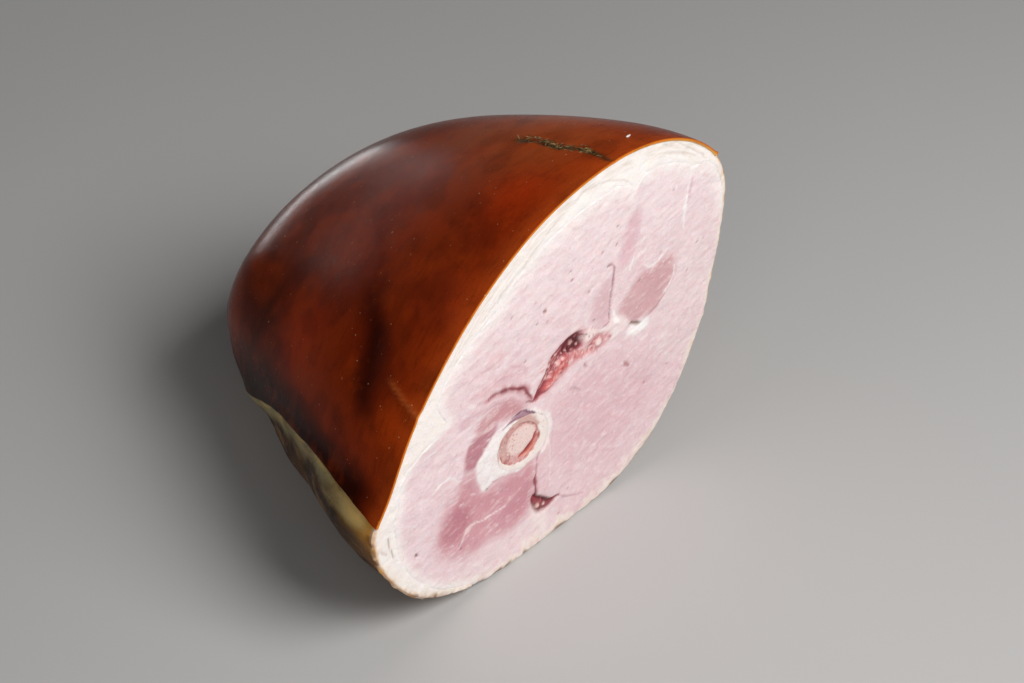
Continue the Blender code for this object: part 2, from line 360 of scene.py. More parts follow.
def paint_muscles(art):
    """Broad colour of the muscles that the saw crossed."""
    flat = art.flat
    art.lay(0.20 * smooth(0.5 + 0.5 * waves(flat, 26.0, 41)), "#e6c2c6")
    art.lay(0.34 * smooth((110 - flat[:, 1]) / 60), "#dfb6bd")
    art.lay(0.55 * smooth((flat[:, 1] - 118) / 50), "#f3e2e2")
    art.zone([(22, 82), (60, 72), (70, 50), (50, 30), (16, 34), (2, 45), (2, 72)], "#d9a7b0", 26, 0.35)
    art.zone([(72, 108), (112, 128), (116, 92), (98, 56), (80, 64)], "#ecd6d6", 20, 0.60)
    art.lay(0.60 * smooth(-(flat[:, 0] + 74) / 16) * smooth((100 - flat[:, 1]) / 30), "#efdadc")
    art.lay(0.60 * smooth((30 - flat[:, 1]) / 14) * smooth((20 - flat[:, 0]) / 40), "#f2dede")
    art.zone([(-62, 74), (-54, 70), (-50, 58), (-30, 55), (-17, 55), (-14, 44), (-16, 34), (-20, 25),
              (-32, 22), (-46, 26), (-60, 26), (-74, 34), (-81, 44), (-76, 58), (-68, 68)],
             ROSE_LEAN, 11, 0.80, -0.10)
    art.zone([(-64, 60), (-58, 52), (-60, 44), (-68, 40), (-77, 43), (-75, 54)], DEEP_ROSE, 9, 0.55)
    art.zone([(-60, 70), (-50, 58), (-34, 55), (-20, 53), (-18, 44), (-40, 42), (-58, 48)], DEEP_ROSE, 10, 0.12)
    art.zone([(-36, 38), (-17, 44), (-15, 34), (-22, 28), (-36, 30)], DEEP_ROSE, 7, 0.25)
    art.zone([(-13, 56), (-6, 58), (-4, 45), (-4, 31), (-9, 28), (-14, 35)], "#e6c4c8", 4, 0.75, 0.1)
    art.zone([(-62, 79), (-61, 87), (-56, 92), (-47, 92), (-40, 90), (-45, 84), (-52, 78), (-58, 75)],
             DEEP_ROSE, 3.5, 0.80, -0.1)
    art.zone([(-54, 97), (-46, 101), (-36, 102), (-27, 98), (-22, 91), (-28, 90), (-40, 92), (-50, 93)],
             DUSTY_ROSE, 5, 0.75)
    art.zone([(-64, 108), (-44, 107), (-30, 103), (-22, 96), (-19, 90), (-23, 91), (-30, 99), (-44, 103),
              (-62, 102)], "#d3a6ae", 4, 0.55, 0.15)
    art.zone([(57, 120), (66, 121), (76, 121), (83, 120), (85, 113), (82, 105), (77, 99), (70, 95),
              (61, 93), (52, 95), (46, 101), (45, 110)], "#d1a1a4", 6, 0.85, -0.10)
    art.zone([(62, 118), (80, 118), (82, 110), (76, 102), (66, 104)], "#c9979b", 8, 0.35)
    art.zone([(56, 160), (50, 157), (46, 148), (43, 137), (47, 132), (53, 138), (58, 149)],
             "#d6a3ae", 7, 0.60, -0.1)
    art.zone([(28, 126), (37, 130), (38, 112), (34, 107), (26, 110), (24, 118)], "#cf9aa2", 8, 0.50)
    art.zone([(-58, 118), (-30, 118), (-20, 108), (-36, 111), (-54, 113)], "#dcaab0", 6, 0.45)
    art.zone([(-44, 132), (-36, 131), (-38, 126), (-46, 127)], "#d99c9f", 4, 0.35)
    art.zone([(-4, 78), (22, 88), (44, 84), (50, 76), (30, 72), (6, 70)], "#dfb5ba", 8, 0.35)


def paint_grain(art):
    """Fine unevenness of cut meat: flecks of fat, small pits and bundles of fibres."""
    flat = art.flat
    art.colour *= (1.0 + 0.014 * waves(flat, 7.0, 42) + 0.014 * waves(flat, 2.6, 43, 30))[:, None]
    along = flat @ np.array([[0.98, -0.17], [0.17, 0.98]]) * np.array([0.22, 1.0])
    bundle = waves(along, 2.0, 44, 30)
    art.lay(0.17 * smooth(bundle - 0.25), "#faecea")
    art.lay(0.12 * smooth(-bundle - 0.35), "#cf98a0")
    art.relief += 0.05 * bundle + 0.08 * waves(flat, 4.5, 45) + 0.20 * waves(flat, 17.0, 46)
    rng = np.random.default_rng(47)
    for x, z in rng.uniform((-100, 12), (112, 172), (240, 2)):
        art.spot(x, z, rng.uniform(0.8, 1.2), "#fffaf8", rng.uniform(0.15, 0.50), 0.04,
                 rng.uniform(1.2, 3.4), rng.normal(12, 22))
    for x, z in rng.uniform((-96, 16), (108, 168), (50, 2)):
        art.spot(x, z, rng.uniform(0.8, 1.2), "#b0717a", rng.uniform(0.15, 0.45), -0.15,
                 rng.uniform(1.0, 2.2), rng.normal(10, 25))


HOLES = [(41, 158), (31, 148), (22, 131), (9, 149), (10, 144), (58, 117), (101, 117), (81, 157), (41, 147),
         (94, 104), (-94, 48), (3, 9), (-47, 57), (82, 54), (65, 53), (-8, 137), (-7, 130), (-14, 133),
         (-21, 116), (-30, 146), (26, 113), (74, 126), (10, 21), (-66, 36), (-65, 33)]


def paint_seams(art):
    """Seams between muscles, membranes, streaks of fat and small holes."""
    white, pale = "#fdf7f4", "#f3dfdd"
    art.stroke([(91, 168), (93, 161), (92.5, 155), (91, 148), (90, 140), (90, 131)], 1.5, white, 0.9, 0.12)
    art.stroke([(94, 158), (94.5, 152), (93, 146)], 2.4, "#d3a0ab", 0.5)
    art.stroke([(71, 177), (72, 171)], 1.0, white, 0.7)
    art.stroke([(61, 124.5), (66, 122), (72, 122), (77, 124), (79, 125)], 1.5, white, 0.85, 0.15)
    art.stroke([(84, 113), (83, 107), (80, 102.5), (77, 100)], 1.3, white, 0.75, 0.1)
    art.stroke([(78, 99), (72, 95), (66, 93.5)], 1.3, "#a9636b", 0.6, -0.15)
    art.stroke([(34, 138.5), (38, 137.5), (39.5, 134), (38.5, 125), (38, 117), (37, 109), (36, 105)],
               1.2, "#9b6470", 0.75, -0.35)
    art.stroke([(40.5, 131), (40.5, 122), (40, 112)], 0.9, pale, 0.5)
    art.stroke([(24, 109.5), (29, 106), (34, 104.8), (37, 105)], 1.1, "#a9606c", 0.7, -0.25)
    art.stroke([(53, 134), (52, 131), (50.5, 128)], 1.1, white, 0.7)
    art.stroke([(8, 118), (13, 115), (18, 111)], 1.6, pale, 0.8, 0.1)
    art.stroke([(-84, 77), (-77, 80), (-71, 79), (-67, 75), (-64, 74)], 1.3, white, 0.75, 0.1)
    art.stroke([(-71, 78), (-67, 74), (-66, 76)], 2.4, pale, 0.55)
    art.stroke([(-61, 42.5), (-56, 41.8), (-51.4, 40.8), (-47, 40.2), (-42.5, 39.6), (-35.7, 38.6)],
               1.0, pale, 0.85, 0.1)
    art.spot(-60.5, 41.5, 4.2, pale, 0.75, 0.1, 1.3, 20)
    art.stroke([(-61, 43), (-63, 38), (-66, 35)], 1.3, pale, 0.6)
    art.stroke([(-53, 91.5), (-48, 91.8), (-42, 91)], 1.2, "#e9cfcd", 0.7, 0.1)
    art.stroke([(-51, 97), (-46, 97)], 0.9, "#e3c1c2", 0.5)
    art.stroke([(8, 83), (13, 81), (18, 76.5)], 0.9, "#a97d8b", 0.6, -0.1)
    art.stroke([(-5, 61), (-4, 50), (-4, 40), (-4, 30)], 1.1, pale, 0.65)
    art.stroke([(1, 21), (8, 17), (14, 13.5), (20, 12)], 1.0, "#b98490", 0.55, -0.15)
    art.stroke([(19, 90.5), (21.5, 88)], 1.1, "#8c4f4c", 0.7, -0.2)
    art.stroke([(48.5, 76), (50.5, 73.5), (53, 71)], 2.0, "#a04a4c", 0.75, -0.3)
    art.stroke([(-34, 121), (-27, 117), (-20, 112)], 1.0, "#b9828c", 0.4, -0.1)
    art.stroke([(-46, 115), (-38, 116), (-30, 114)], 0.9, "#c796a0", 0.4)
    art.stroke([(-60, 126), (-50, 127), (-42, 125.5)], 1.2, "#cf979b", 0.35)
    # Dark red seam over the thigh muscle, running into the vessels.
    art.stroke([(-80, 114.5), (-68, 113), (-56, 111.5), (-46, 109.5)], 1.0, "#f6e8e8", 0.6, 0.08)
    art.stroke([(-54, 110.3), (-46, 109.5), (-40, 109.5)], 0.9, "#b87884", 0.6, -0.1)
    art.stroke([(-48, 109.4), (-38, 108.6), (-29, 105.4), (-22, 99.5), (-17, 92)], 4.6, "#c5727c", 0.55)
    art.stroke([(-46, 109.5), (-40, 109.5), (-35, 108), (-30, 106.3), (-26, 103.5), (-22, 100), (-17, 92)],
               1.8, "#943640", 0.90, -0.06, 0.45)
    art.stroke([(-40, 109.3), (-34, 107.6), (-28, 104.8), (-22, 99.5), (-18, 94)], 1.1, WINE, 0.75, -0.05)
    art.stroke([(-58, 107), (-46, 106.4), (-36, 105), (-29, 101.5), (-24, 97)], 1.5, "#f0d9da", 0.60, 0.08)
    art.stroke([(-50, 103.5), (-40, 103), (-32, 100)], 0.8, "#c68a94", 0.45)
    # Fat that runs from the vessels to the right.
    art.zone([(22, 108), (28, 107), (36, 103), (40, 110), (42, 106), (47, 103), (52, 96), (46, 95), (40, 93),
              (35, 97), (30, 102), (22, 104)], "#f3e2df", 3, 0.85, 0.1)
    art.stroke([(40, 110), (41, 105), (44, 101)], 2.4, white, 0.9, 0.15)
    art.zone([(51, 92), (58, 93.5), (66, 92), (66, 87.5), (60, 86), (53, 88)], white, 3, 0.95, 0.25)
    # Partly its own brown, partly painted shade: a dark slit in the white fat.
    art.stroke([(53, 95), (56, 93.4), (61, 91.4)], 1.6, "#7b5648", 0.9, -1.0, 0.5)
    art.stroke([(42, 90), (48, 87), (52, 82), (55, 79)], 2.2, "#e7c9cc", 0.6)
    # Small holes: partly their own brown-red, partly painted shade inside them.
    for x, z in HOLES:
        art.spot(x, z, 1.2, "#96605a", 0.65, -0.35, 1.7, 15)
    # Two slits and one hole painted near black: partly their own brown, partly painted shade inside them.
    art.stroke([(-9.5, 138), (-7, 136)], 1.4, "#8c5a4e", 0.7, -0.5)
    art.stroke([(-95, 49.5), (-93.5, 47.5)], 1.5, "#5d4a48", 0.8, -0.5)
    art.spot(-47, 57.2, 1.7, "#3f2c30", 0.9, -0.6)


def paint_vessels(art):
    """The gap that held the blood vessels, the torn seam below the bone and their dark contents."""
    art.zone([(-17, 90), (-13, 94), (-9, 100), (-4, 107), (2, 112), (10, 113.5), (18, 112), (24, 108),
              (30, 103), (38, 99), (36, 94), (26, 94), (16, 95), (6, 93), (-6, 89)],
             "#dba3a6", 3.5, 0.85, -0.2)
    art.zone([(-15, 90), (-11, 95), (-8, 101), (-2, 108), (6, 112), (13, 112.5), (18, 109), (20, 104),
              (15, 101), (8, 103), (3, 103), (-2, 99), (-6, 93), (-10, 90)], "#86303a", 2.0, 0.95, -1.2)
    art.zone([(4, 105.5), (8, 110.5), (14, 111), (18.5, 106), (15, 102.5), (9, 104)], "#54161f", 2.4, 0.92, -0.7)
    art.zone([(-9, 92), (-3, 98), (3, 103), (9, 102.5), (8, 97.5), (2, 94), (-4, 91.5)], "#c9615f", 2.2, 0.95, 0.8)
    art.zone([(9, 102), (16, 101), (23, 98.5), (24, 95.5), (14, 96.5), (8, 98.5)], "#cf7f7c", 2.2, 0.85, -0.3)
    art.stroke([(-13, 91.5), (-8.5, 98), (-4, 104.5), (2, 110), (9, 112.5)], 1.3, "#53151d", 0.8, -0.2)
    art.stroke([(-10, 93.5), (-6, 99.5), (-1, 105.5), (4, 109)], 0.9, "#d99a98", 0.55, 0.3)
    art.stroke([(-7, 92.5), (0, 94), (7, 96.5), (12, 99)], 1.0, "#f3cfc9", 0.65, 0.2)
    art.stroke([(-21, 92), (-15, 90), (-9, 90.5), (-4, 91.5)], 1.1, "#8b323c", 0.8, -0.2)
    art.stroke([(-6, 112), (2, 114), (10, 115), (18, 113.5)], 1.0, "#efd3d3", 0.6, 0.1)
    for x, z, size in ((11.3, 107.8, 2.4), (7.5, 105.4, 1.5), (15.5, 104.2, 1.4), (4.0, 105.3, 1.4)):
        art.spot(x, z, size, "#e9c3bb", 0.9, 1.0)
    art.spot(22.7, 106.0, 7.0, "#f8e7e2", 0.9, 0.5, 1.4, -20)
    # Cut end of a vessel: a red ring with a pale middle.
    art.spot(28.5, 98.6, 8.5, "#b34a50", 0.85, -0.4, 1.15, -10)
    art.spot(29.5, 98.0, 4.6, "#f3dcd6", 0.95, 0.7, 1.15, -10)
    art.spot(23.5, 98.2, 2.2, "#6e1c26", 0.85, -0.7, 1.5, 60)
    rng = np.random.default_rng(51)
    for x, z in rng.normal((1, 98.5), (4.6, 3.0), (70, 2)):
        art.spot(x, z, rng.uniform(0.8, 1.4), rng.choice(["#f0b8b0", "#e0807a", "#8e2a30", "#f6d3cc"]),
                 rng.uniform(0.4, 0.9), rng.uniform(-0.3, 0.4), rng.uniform(1, 2.2), rng.normal(50, 25))
    for x, z in rng.normal((9, 106), (5.5, 2.8), (60, 2)):
        art.spot(x, z, rng.uniform(0.8, 1.4), rng.choice(["#5a1a22", "#8c3238", "#c98a88", "#34101a"]),
                 rng.uniform(0.4, 0.9), rng.uniform(-0.5, 0.4), rng.uniform(1, 2), rng.uniform(0, 180))
    for x, z in rng.normal((23, 99), (6.5, 2.6), (60, 2)):
        art.spot(x, z, rng.uniform(0.8, 1.4), rng.choice(["#f8e3de", "#b4545a", "#e9b2ac", "#f3cfca"]),
                 rng.uniform(0.4, 0.85), rng.uniform(-0.3, 0.3), rng.uniform(1, 2), rng.uniform(0, 180))
    # Seam below the bone, which opens into a three-cornered gap.
    art.stroke([(-11, 57), (-13.5, 50), (-14, 43)], 1.3, "#a8606c", 0.6, -0.3)
    art.stroke([(-14, 44), (-14.2, 37), (-13.5, 31), (-12, 28)], 1.9, "#8a303c", 0.9, -0.5, 0.5)
    art.zone([(-15.5, 33), (-9, 28), (-2, 22.5), (3, 20.5), (-4, 19), (-10, 18.5), (-16, 22), (-17, 29)],
             "#8a2f38", 1.8, 0.95, -0.9)
    art.stroke([(-13.5, 31), (-9, 26.5), (-3, 22.5), (3, 20.4)], 1.7, "#55141d", 0.85, -0.5)
    art.stroke([(-15.5, 30), (-15, 25), (-12, 21), (-7, 20)], 1.4, "#72212b", 0.85, -0.2)
    art.spot(-12.2, 23.6, 3.2, "#ecc9bb", 0.9, 0.8, 1.2, -50)
    art.spot(-7.5, 22.4, 1.9, "#f1d6cc", 0.8, 0.5)
    art.spot(-9.6, 25.4, 1.5, "#c4676a", 0.8, 0.3)
    art.zone([(-17, 27), (-17.5, 19), (-13, 12), (-9, 5), (-6, 3), (-6, 12), (-7, 18), (-13, 20)],
             "#f4e6e0", 5, 0.75, 0.15)


def paint_bone_surround(art):
    """Gristle beside the bone, the purple vein over it and the pale membrane round it."""
    art.zone([(-55, 76), (-50, 80), (-45, 84.5), (-40, 87), (-30, 88), (-20, 86), (-14, 84), (-14, 60),
              (-24, 55), (-38, 58.5), (-44, 60), (-47, 57), (-51, 58.5), (-53, 65)],
             "#f8f1ee", 2.2, 0.95, 0.20)
    art.stroke([(-52, 66), (-50, 72), (-47, 77), (-43, 81)], 0.8, "#dccdd0", 0.4, -0.1)
    art.stroke([(-49, 61), (-46, 65), (-44, 71)], 0.9, "#e0cfcf", 0.4, -0.1)
    art.stroke([(-45, 60.5), (-41, 59), (-36, 57.5)], 0.9, "#c0868c", 0.6, -0.2)
    art.stroke([(-15, 83), (-10, 80.5), (-5.5, 75), (-4.5, 68), (-6, 61), (-10, 56)], 3.4, "#f8efeb", 0.85, 0.15)
    art.stroke([(-2.5, 76), (-1.5, 66), (-2.5, 56), (-3.5, 46)], 0.9, "#d9b0b8", 0.5)
    art.zone([(-34, 87), (-29, 88.6), (-22, 87.9), (-17, 84.6), (-15.5, 81.8), (-20, 83.6), (-27, 86)],
             "#9c6f84", 1.4, 0.9, 0.12)
    art.stroke([(-31, 89.0), (-24, 88.8), (-18.5, 85.8), (-15.5, 82.4)], 1.0, "#5f2c3e", 0.85, -0.2)
    art.stroke([(-37, 86.4), (-30, 87), (-23, 85.5), (-17, 83)], 0.9, "#8c4a52", 0.7, -0.15)


def paint_fat(art, depth, k):
    """White fat under the rind, streaked along it, and its creamier rim."""
    flat = art.flat
    art.lay(smooth(0.5 + 0.5 * waves(flat, 14.0, 61)) * 0.25, "#f9f2ee")
    art.lay(smooth((flat[:, 1] - 150) / 30) * 0.35, "#fbf6f2")
    art.lay(0.7 * smooth(1.0 - depth / 2.6), "#f0d9b8")
    top = smooth((k - 0.36) / 0.02) * smooth((0.66 - k) / 0.03)
    broken = 0.5 + 0.5 * waves(flat, 9.0, 62)
    for at, width, strength in ((3.0, 0.45, 0.45), (4.6, 0.40, 0.60), (6.4, 0.45, 0.55), (8.6, 0.5, 0.4)):
        wander = at + 0.7 * waves(flat, 30.0, 63 + int(at)) + 0.25 * waves(flat, 6.0, 71)
        line = 1.0 / (1.0 + ((depth - wander) / width) ** 4)
        art.lay(strength * line * top * smooth(broken + 0.3), "#dccdbf", -0.2)
    art.stroke([(-52, 153), (-30, 166.5), (-10, 177), (0, 183), (12, 187.5), (24, 188), (35, 185.5),
                (44, 181), (51, 176)], 1.0, "#d5c9c0", 0.65, -0.25)
    art.stroke([(-40, 159), (-26, 168), (-12, 174), (0, 177)], 1.0, "#d6cac0", 0.6, -0.2)
    art.stroke([(70, 187.5), (84, 181), (95, 172.5), (106, 162)], 0.9, "#d5c8ba", 0.6, -0.2)
    art.stroke([(74, 181), (88, 174), (99, 166)], 0.8, "#dccfc4", 0.5, -0.2)
    art.stroke([(-101, 100), (-95, 103), (-86, 106), (-76, 108.5), (-66, 110.5)], 0.9, "#e0cfc6", 0.6, -0.2)
    art.stroke([(-104, 92), (-101, 98), (-97, 101)], 1.6, "#ffffff", 0.8, 0.3)
    art.stroke([(-112, 70), (-111, 63), (-109, 57)], 0.8, "#a08c7c", 0.7, -0.4)
    art.stroke([(-116, 66), (-113, 61)], 0.7, "#a08c7c", 0.5, -0.3)
    art.stroke([(-106, 74), (-107, 64), (-105, 54), (-101, 45)], 1.6, "#fff9f6", 0.6, 0.2)
    art.relief += 0.12 * waves(flat, 5.0, 72) + 0.06 * waves(flat, 2.2, 73)


def paint_rim(art, inset):
    """Dry, smoked rim where no rind covers the cut's edge: cream within, beige and brown outside."""
    flat = art.flat
    bare = smooth((123 + 0.349 * flat[:, 0] - flat[:, 1]) / 7)
    uneven = np.maximum(1 + 0.40 * waves(flat, 8.0, 81) + 0.30 * waves(flat, 2.6, 82), 0.3)
    low = smooth((40 - flat[:, 1]) / 30)
    reach = (4.6 + 2.6 * low) * uneven
    fleck = smooth(0.4 + waves(flat, 5.5, 83) + 0.4 * waves(flat, 2.4, 85))
    art.lay(bare * 0.85 * smooth(1.35 - inset / reach), "#f2e7dc")
    art.lay(bare * (0.35 + 0.50 * fleck) * smooth(1.2 - inset / (0.55 * reach)), "#dcc0a8")
    art.lay(bare * (0.30 + 0.60 * low * fleck) * smooth(1.1 - inset / (0.30 * reach)), "#99755c")
    art.lay(bare * low * fleck * smooth(1.1 - inset / (0.35 * reach)), "#6b4a3a")
    sides = smooth((np.abs(flat[:, 0] + 5) - 85) / 20)
    art.lay(bare * sides * (0.45 + 0.45 * fleck) * smooth(1.4 - inset / 1.6), "#e8a850")
    art.lay(bare * sides * smooth(waves(flat, 6.0, 84) * 2 - 0.6) * smooth(1.2 - inset / 1.3), "#8e5a2c")
    art.crust = np.maximum(art.crust, bare * 0.45 * smooth(1.15 - inset / (0.40 * reach)))
    art.relief -= bare * 0.5 * smooth(1 - inset / 1.2)


def paint_face(points, inset):
    """Colour and relief of points of the sawn face; inset is their distance from its outline."""
    x, z = points[:, 0] / MM, points[:, 2] / MM
    art = Painting(x, z, PALE_LEAN)
    paint_muscles(art)
    paint_grain(art)
    paint_seams(art)
    paint_vessels(art)
    paint_bone_surround(art)
    paint_rim(art, inset / MM)
    return art


# ---------------------------------------------------------------- materials


def add_node(tree, kind, settings=None, inputs=None):
    """Adds a node, sets it up, and gives its inputs values or links them from sockets."""
    made = tree.nodes.new(kind)
    for name, value in (settings or {}).items():
        setattr(made, name, value)
    for name, value in (inputs or {}).items():
        if isinstance(value, bpy.types.NodeSocket):
            tree.links.new(value, made.inputs[name])
        else:
            made.inputs[name].default_value = value
    return made


def new_material(name, values):
    """Material with a Principled shader whose own sockets have these values."""
    made = bpy.data.materials.new(name)
    made.use_nodes = True
    shader = made.node_tree.nodes["Principled BSDF"]
    for socket, value in values.items():
        shader.inputs[socket].default_value = value
    return made, made.node_tree, shader


def noise(tree, where, size, detail=3.0, stretch=None, roughness=0.55):
    """Noise whose features are about size metres across, stretched along an axis if asked."""
    if stretch:
        where = add_node(tree, "ShaderNodeMapping", inputs={"Vector": where, "Scale": stretch}).outputs[0]
    inputs = {"Vector": where, "Scale": 1.0 / size, "Detail": detail, "Roughness": roughness}
    return add_node(tree, "ShaderNodeTexNoise", inputs=inputs).outputs["Fac"]


def ranged(tree, value, low, high, to_low, to_high):
    """Maps a value from one range to another, and holds it there."""
    inputs = {"Value": value, "From Min": low, "From Max": high, "To Min": to_low, "To Max": to_high}
    return add_node(tree, "ShaderNodeMapRange", inputs=inputs).outputs["Result"]


def tinted(tree, under, over, share, blend="MIX"):
    """Colour over blended on to colour under by share."""
    made = add_node(tree, "ShaderNodeMix", {"data_type": "RGBA", "blend_type": blend})
    for socket, value in ((made.inputs[6], under), (made.inputs[7], over), (made.inputs[0], share)):
        if isinstance(value, bpy.types.NodeSocket):
            tree.links.new(value, socket)
        else:
            socket.default_value = value
    return made.outputs[2]


def rgba(code):
    return (*srgb(code), 1.0)


def bumped(tree, shader, layers):
    """Chains bumps, each a height and how far in metres it reaches, into the shader's normal."""
    normal = None
    for height, reach in layers:
        inputs = {"Height": height, "Distance": reach, "Strength": 1.0}
        if normal is not None:
            inputs["Normal"] = normal
        normal = add_node(tree, "ShaderNodeBump", inputs=inputs).outputs["Normal"]
    tree.links.new(normal, shader.inputs["Normal"])


def painted(tree):
    """The colour painted on a piece's points, and how dry and smoked its surface is there."""
    layer = add_node(tree, "ShaderNodeAttribute", {"attribute_name": "tone"})
    return layer.outputs["Color"], layer.outputs["Alpha"]


def smoke_dried(tree, where, colour, dry):
    """Brown smears, paler streaks along the ham and fine flecks where smoke has dried the bare outside."""
    smear = noise(tree, where, 0.012, 5.0, (1.0, 0.45, 1.0))
    colour = tinted(tree, colour, rgba("#5a2a0c"), scaled(tree, ranged(tree, smear, 0.46, 0.68, 0.0, 0.60), dry))
    streak = noise(tree, where, 0.0070, 5.0, (1.0, 0.35, 1.3))
    colour = tinted(tree, colour, rgba("#c99a5e"), scaled(tree, ranged(tree, streak, 0.50, 0.74, 0.0, 0.45), dry))
    fleck = noise(tree, where, 0.0016, 3.0)
    return tinted(tree, colour, rgba("#3f2312"), scaled(tree, ranged(tree, fleck, 0.58, 0.74, 0.0, 0.50), dry))


def wrapped_round(tree, where):
    """Coordinates that run round the ham, back along it and outwards, all in metres."""
    parts = add_node(tree, "ShaderNodeSeparateXYZ", inputs={0: where}).outputs
    over = add_node(tree, "ShaderNodeMath", {"operation": "SUBTRACT"}, {0: parts[2], 1: AXIS_HEIGHT}).outputs[0]
    turn = add_node(tree, "ShaderNodeMath", {"operation": "ARCTAN2"}, {0: parts[0], 1: over}).outputs[0]
    made = add_node(tree, "ShaderNodeCombineXYZ", inputs={"X": scaled(tree, turn, 0.1), "Y": parts[1]})
    return made.outputs[0]


def scaled(tree, value, by):
    """A value times another."""
    return add_node(tree, "ShaderNodeMath", {"operation": "MULTIPLY"}, {0: value, 1: by}).outputs[0]


def cured_lean():
    """Brined, cooked pork: pale pink, fine-grained and moist, so light sinks in and the sheen is soft."""
    made, tree, shader = new_material(
        "cured_pork_lean",
        {"Subsurface Weight": 0.22, "Subsurface Radius": (1.0, 0.42, 0.34), "Subsurface Scale": 0.0014,
         "IOR": 1.40, "Specular IOR Level": 0.40},
    )
    where = add_node(tree, "ShaderNodeTexCoord").outputs["Object"]
    colour, dry = painted(tree)
    moist = ranged(tree, dry, 0.0, 0.5, 1.0, 0.0)
    lightness = add_node(tree, "ShaderNodeRGBToBW", inputs={0: colour}).outputs[0]
    moist = scaled(tree, ranged(tree, lightness, 0.12, 0.42, 0.0, 1.0), moist)
    cells = add_node(
        tree, "ShaderNodeTexVoronoi", {"feature": "DISTANCE_TO_EDGE"}, {"Vector": where, "Scale": 1 / 0.0026}
    ).outputs["Distance"]
    bundle_edges = scaled(tree, ranged(tree, cells, 0.0, 0.14, 0.06, 0.0), moist)
    colour = tinted(tree, colour, rgba("#fbefec"), bundle_edges)
    blush = scaled(tree, ranged(tree, noise(tree, where, 0.0034, 4.0, (0.5, 1.0, 1.0)), 0.50, 0.70, 0.0, 0.20), moist)
    colour = tinted(tree, colour, rgba("#cf8c96"), blush)
    grain = noise(tree, where, 0.0011, 3.0)
    colour = tinted(tree, colour, rgba("#c87f88"), scaled(tree, ranged(tree, grain, 0.54, 0.72, 0.0, 0.22), moist))
    fleck = noise(tree, where, 0.0017, 2.5, (0.45, 1.0, 1.0), 0.45)
    colour = tinted(tree, colour, rgba("#fff8f4"), scaled(tree, ranged(tree, fleck, 0.57, 0.68, 0.0, 0.24), moist))
    colour = smoke_dried(tree, where, colour, dry)
    tree.links.new(colour, shader.inputs["Base Color"])
    tree.links.new(ranged(tree, noise(tree, where, 0.004), 0.3, 0.7, 0.34, 0.52), shader.inputs["Roughness"])
    bumped(tree, shader, [(noise(tree, where, 0.0026, 3.0), 0.00032), (grain, 0.00018)])
    return made


def back_fat():
    """Pork back fat: dense, waxy white, faintly pink and slightly translucent."""
    made, tree, shader = new_material(
        "pork_back_fat",
        {"Subsurface Weight": 0.30, "Subsurface Radius": (1.0, 0.72, 0.52), "Subsurface Scale": 0.0016,
         "IOR": 1.44, "Specular IOR Level": 0.16},
    )
    where = add_node(tree, "ShaderNodeTexCoord").outputs["Object"]
    colour, dry = painted(tree)
    moist = ranged(tree, dry, 0.0, 0.5, 1.0, 0.0)
    shade = scaled(tree, ranged(tree, noise(tree, where, 0.0022), 0.55, 0.78, 0.0, 0.30), moist)
    colour = smoke_dried(tree, where, tinted(tree, colour, rgba("#e8d2c6"), shade), dry)
    tree.links.new(colour, shader.inputs["Base Color"])
    tree.links.new(ranged(tree, noise(tree, where, 0.005), 0.3, 0.7, 0.38, 0.55), shader.inputs["Roughness"])
    bumped(tree, shader, [(noise(tree, where, 0.003, 3.0), 0.0004), (noise(tree, where, 0.0009, 2.0), 0.00015)])
    return made


def smoked_skin():
    """Pork skin tanned by smoke: mahogany leather with a thin greasy shine, fine pores and pale specks."""
    made, tree, shader = new_material(
        "smoked_pork_skin",
        {"Subsurface Weight": 0.05, "Subsurface Radius": (1.0, 0.15, 0.05), "Subsurface Scale": 0.0015,
         "IOR": 1.42, "Specular IOR Level": 0.07},
    )
    where = add_node(tree, "ShaderNodeTexCoord").outputs["Object"]
    colour, _ = painted(tree)
    mottle = noise(tree, where, 0.009, 5.0)
    colour = tinted(tree, colour, rgba("#300a03"), ranged(tree, mottle, 0.52, 0.76, 0.0, 0.30))
    warm = noise(tree, where, 0.014, 4.0)
    colour = tinted(tree, colour, rgba("#b8430d"), ranged(tree, warm, 0.52, 0.74, 0.0, 0.28))
    round_it = wrapped_round(tree, where)
    wrinkles = noise(tree, round_it, 0.0016, 3.0, stretch=(0.16, 1.0, 1.0))
    colour = tinted(tree, colour, rgba("#3c0e04"), ranged(tree, wrinkles, 0.54, 0.74, 0.0, 0.35))
    pores = add_node(tree, "ShaderNodeTexVoronoi", inputs={"Vector": where, "Scale": 1 / 0.0011}).outputs["Distance"]
    colour = tinted(tree, colour, rgba("#210703"), ranged(tree, pores, 0.0, 0.28, 0.45, 0.0))
    speck = noise(tree, where, 0.0017, 1.0)
    colour = tinted(tree, colour, rgba("#c9a27c"), ranged(tree, speck, 0.765, 0.78, 0.0, 0.55))
    tree.links.new(colour, shader.inputs["Base Color"])
    tree.links.new(ranged(tree, wrinkles, 0.3, 0.7, 0.20, 0.28), shader.inputs["Roughness"])
    leather = noise(tree, where, 0.0012, 4.0)
    pits = ranged(tree, pores, 0.0, 0.28, 0.0, 1.0)
    bumped(tree, shader, [(leather, 0.00005), (pits, 0.00003), (wrinkles, 0.00006)])
    return made


def dried_fibre():
    """Shreds of skin that dried in the smoke: dull, brittle and mottled."""
    made, tree, shader = new_material(
        "dried_skin_fibre",
        {"Subsurface Weight": 0.05, "Subsurface Scale": 0.0006, "IOR": 1.45, "Specular IOR Level": 0.25},
    )
    where = add_node(tree, "ShaderNodeTexCoord").outputs["Object"]
    colour, _ = painted(tree)
    spots = noise(tree, where, 0.0007, 3.0)
    colour = tinted(tree, colour, rgba("#3a2814"), ranged(tree, spots, 0.50, 0.70, 0.0, 0.55))
    tree.links.new(colour, shader.inputs["Base Color"])
    tree.links.new(ranged(tree, spots, 0.3, 0.7, 0.55, 0.80), shader.inputs["Roughness"])
    bumped(tree, shader, [(spots, 0.0001)])
    return made


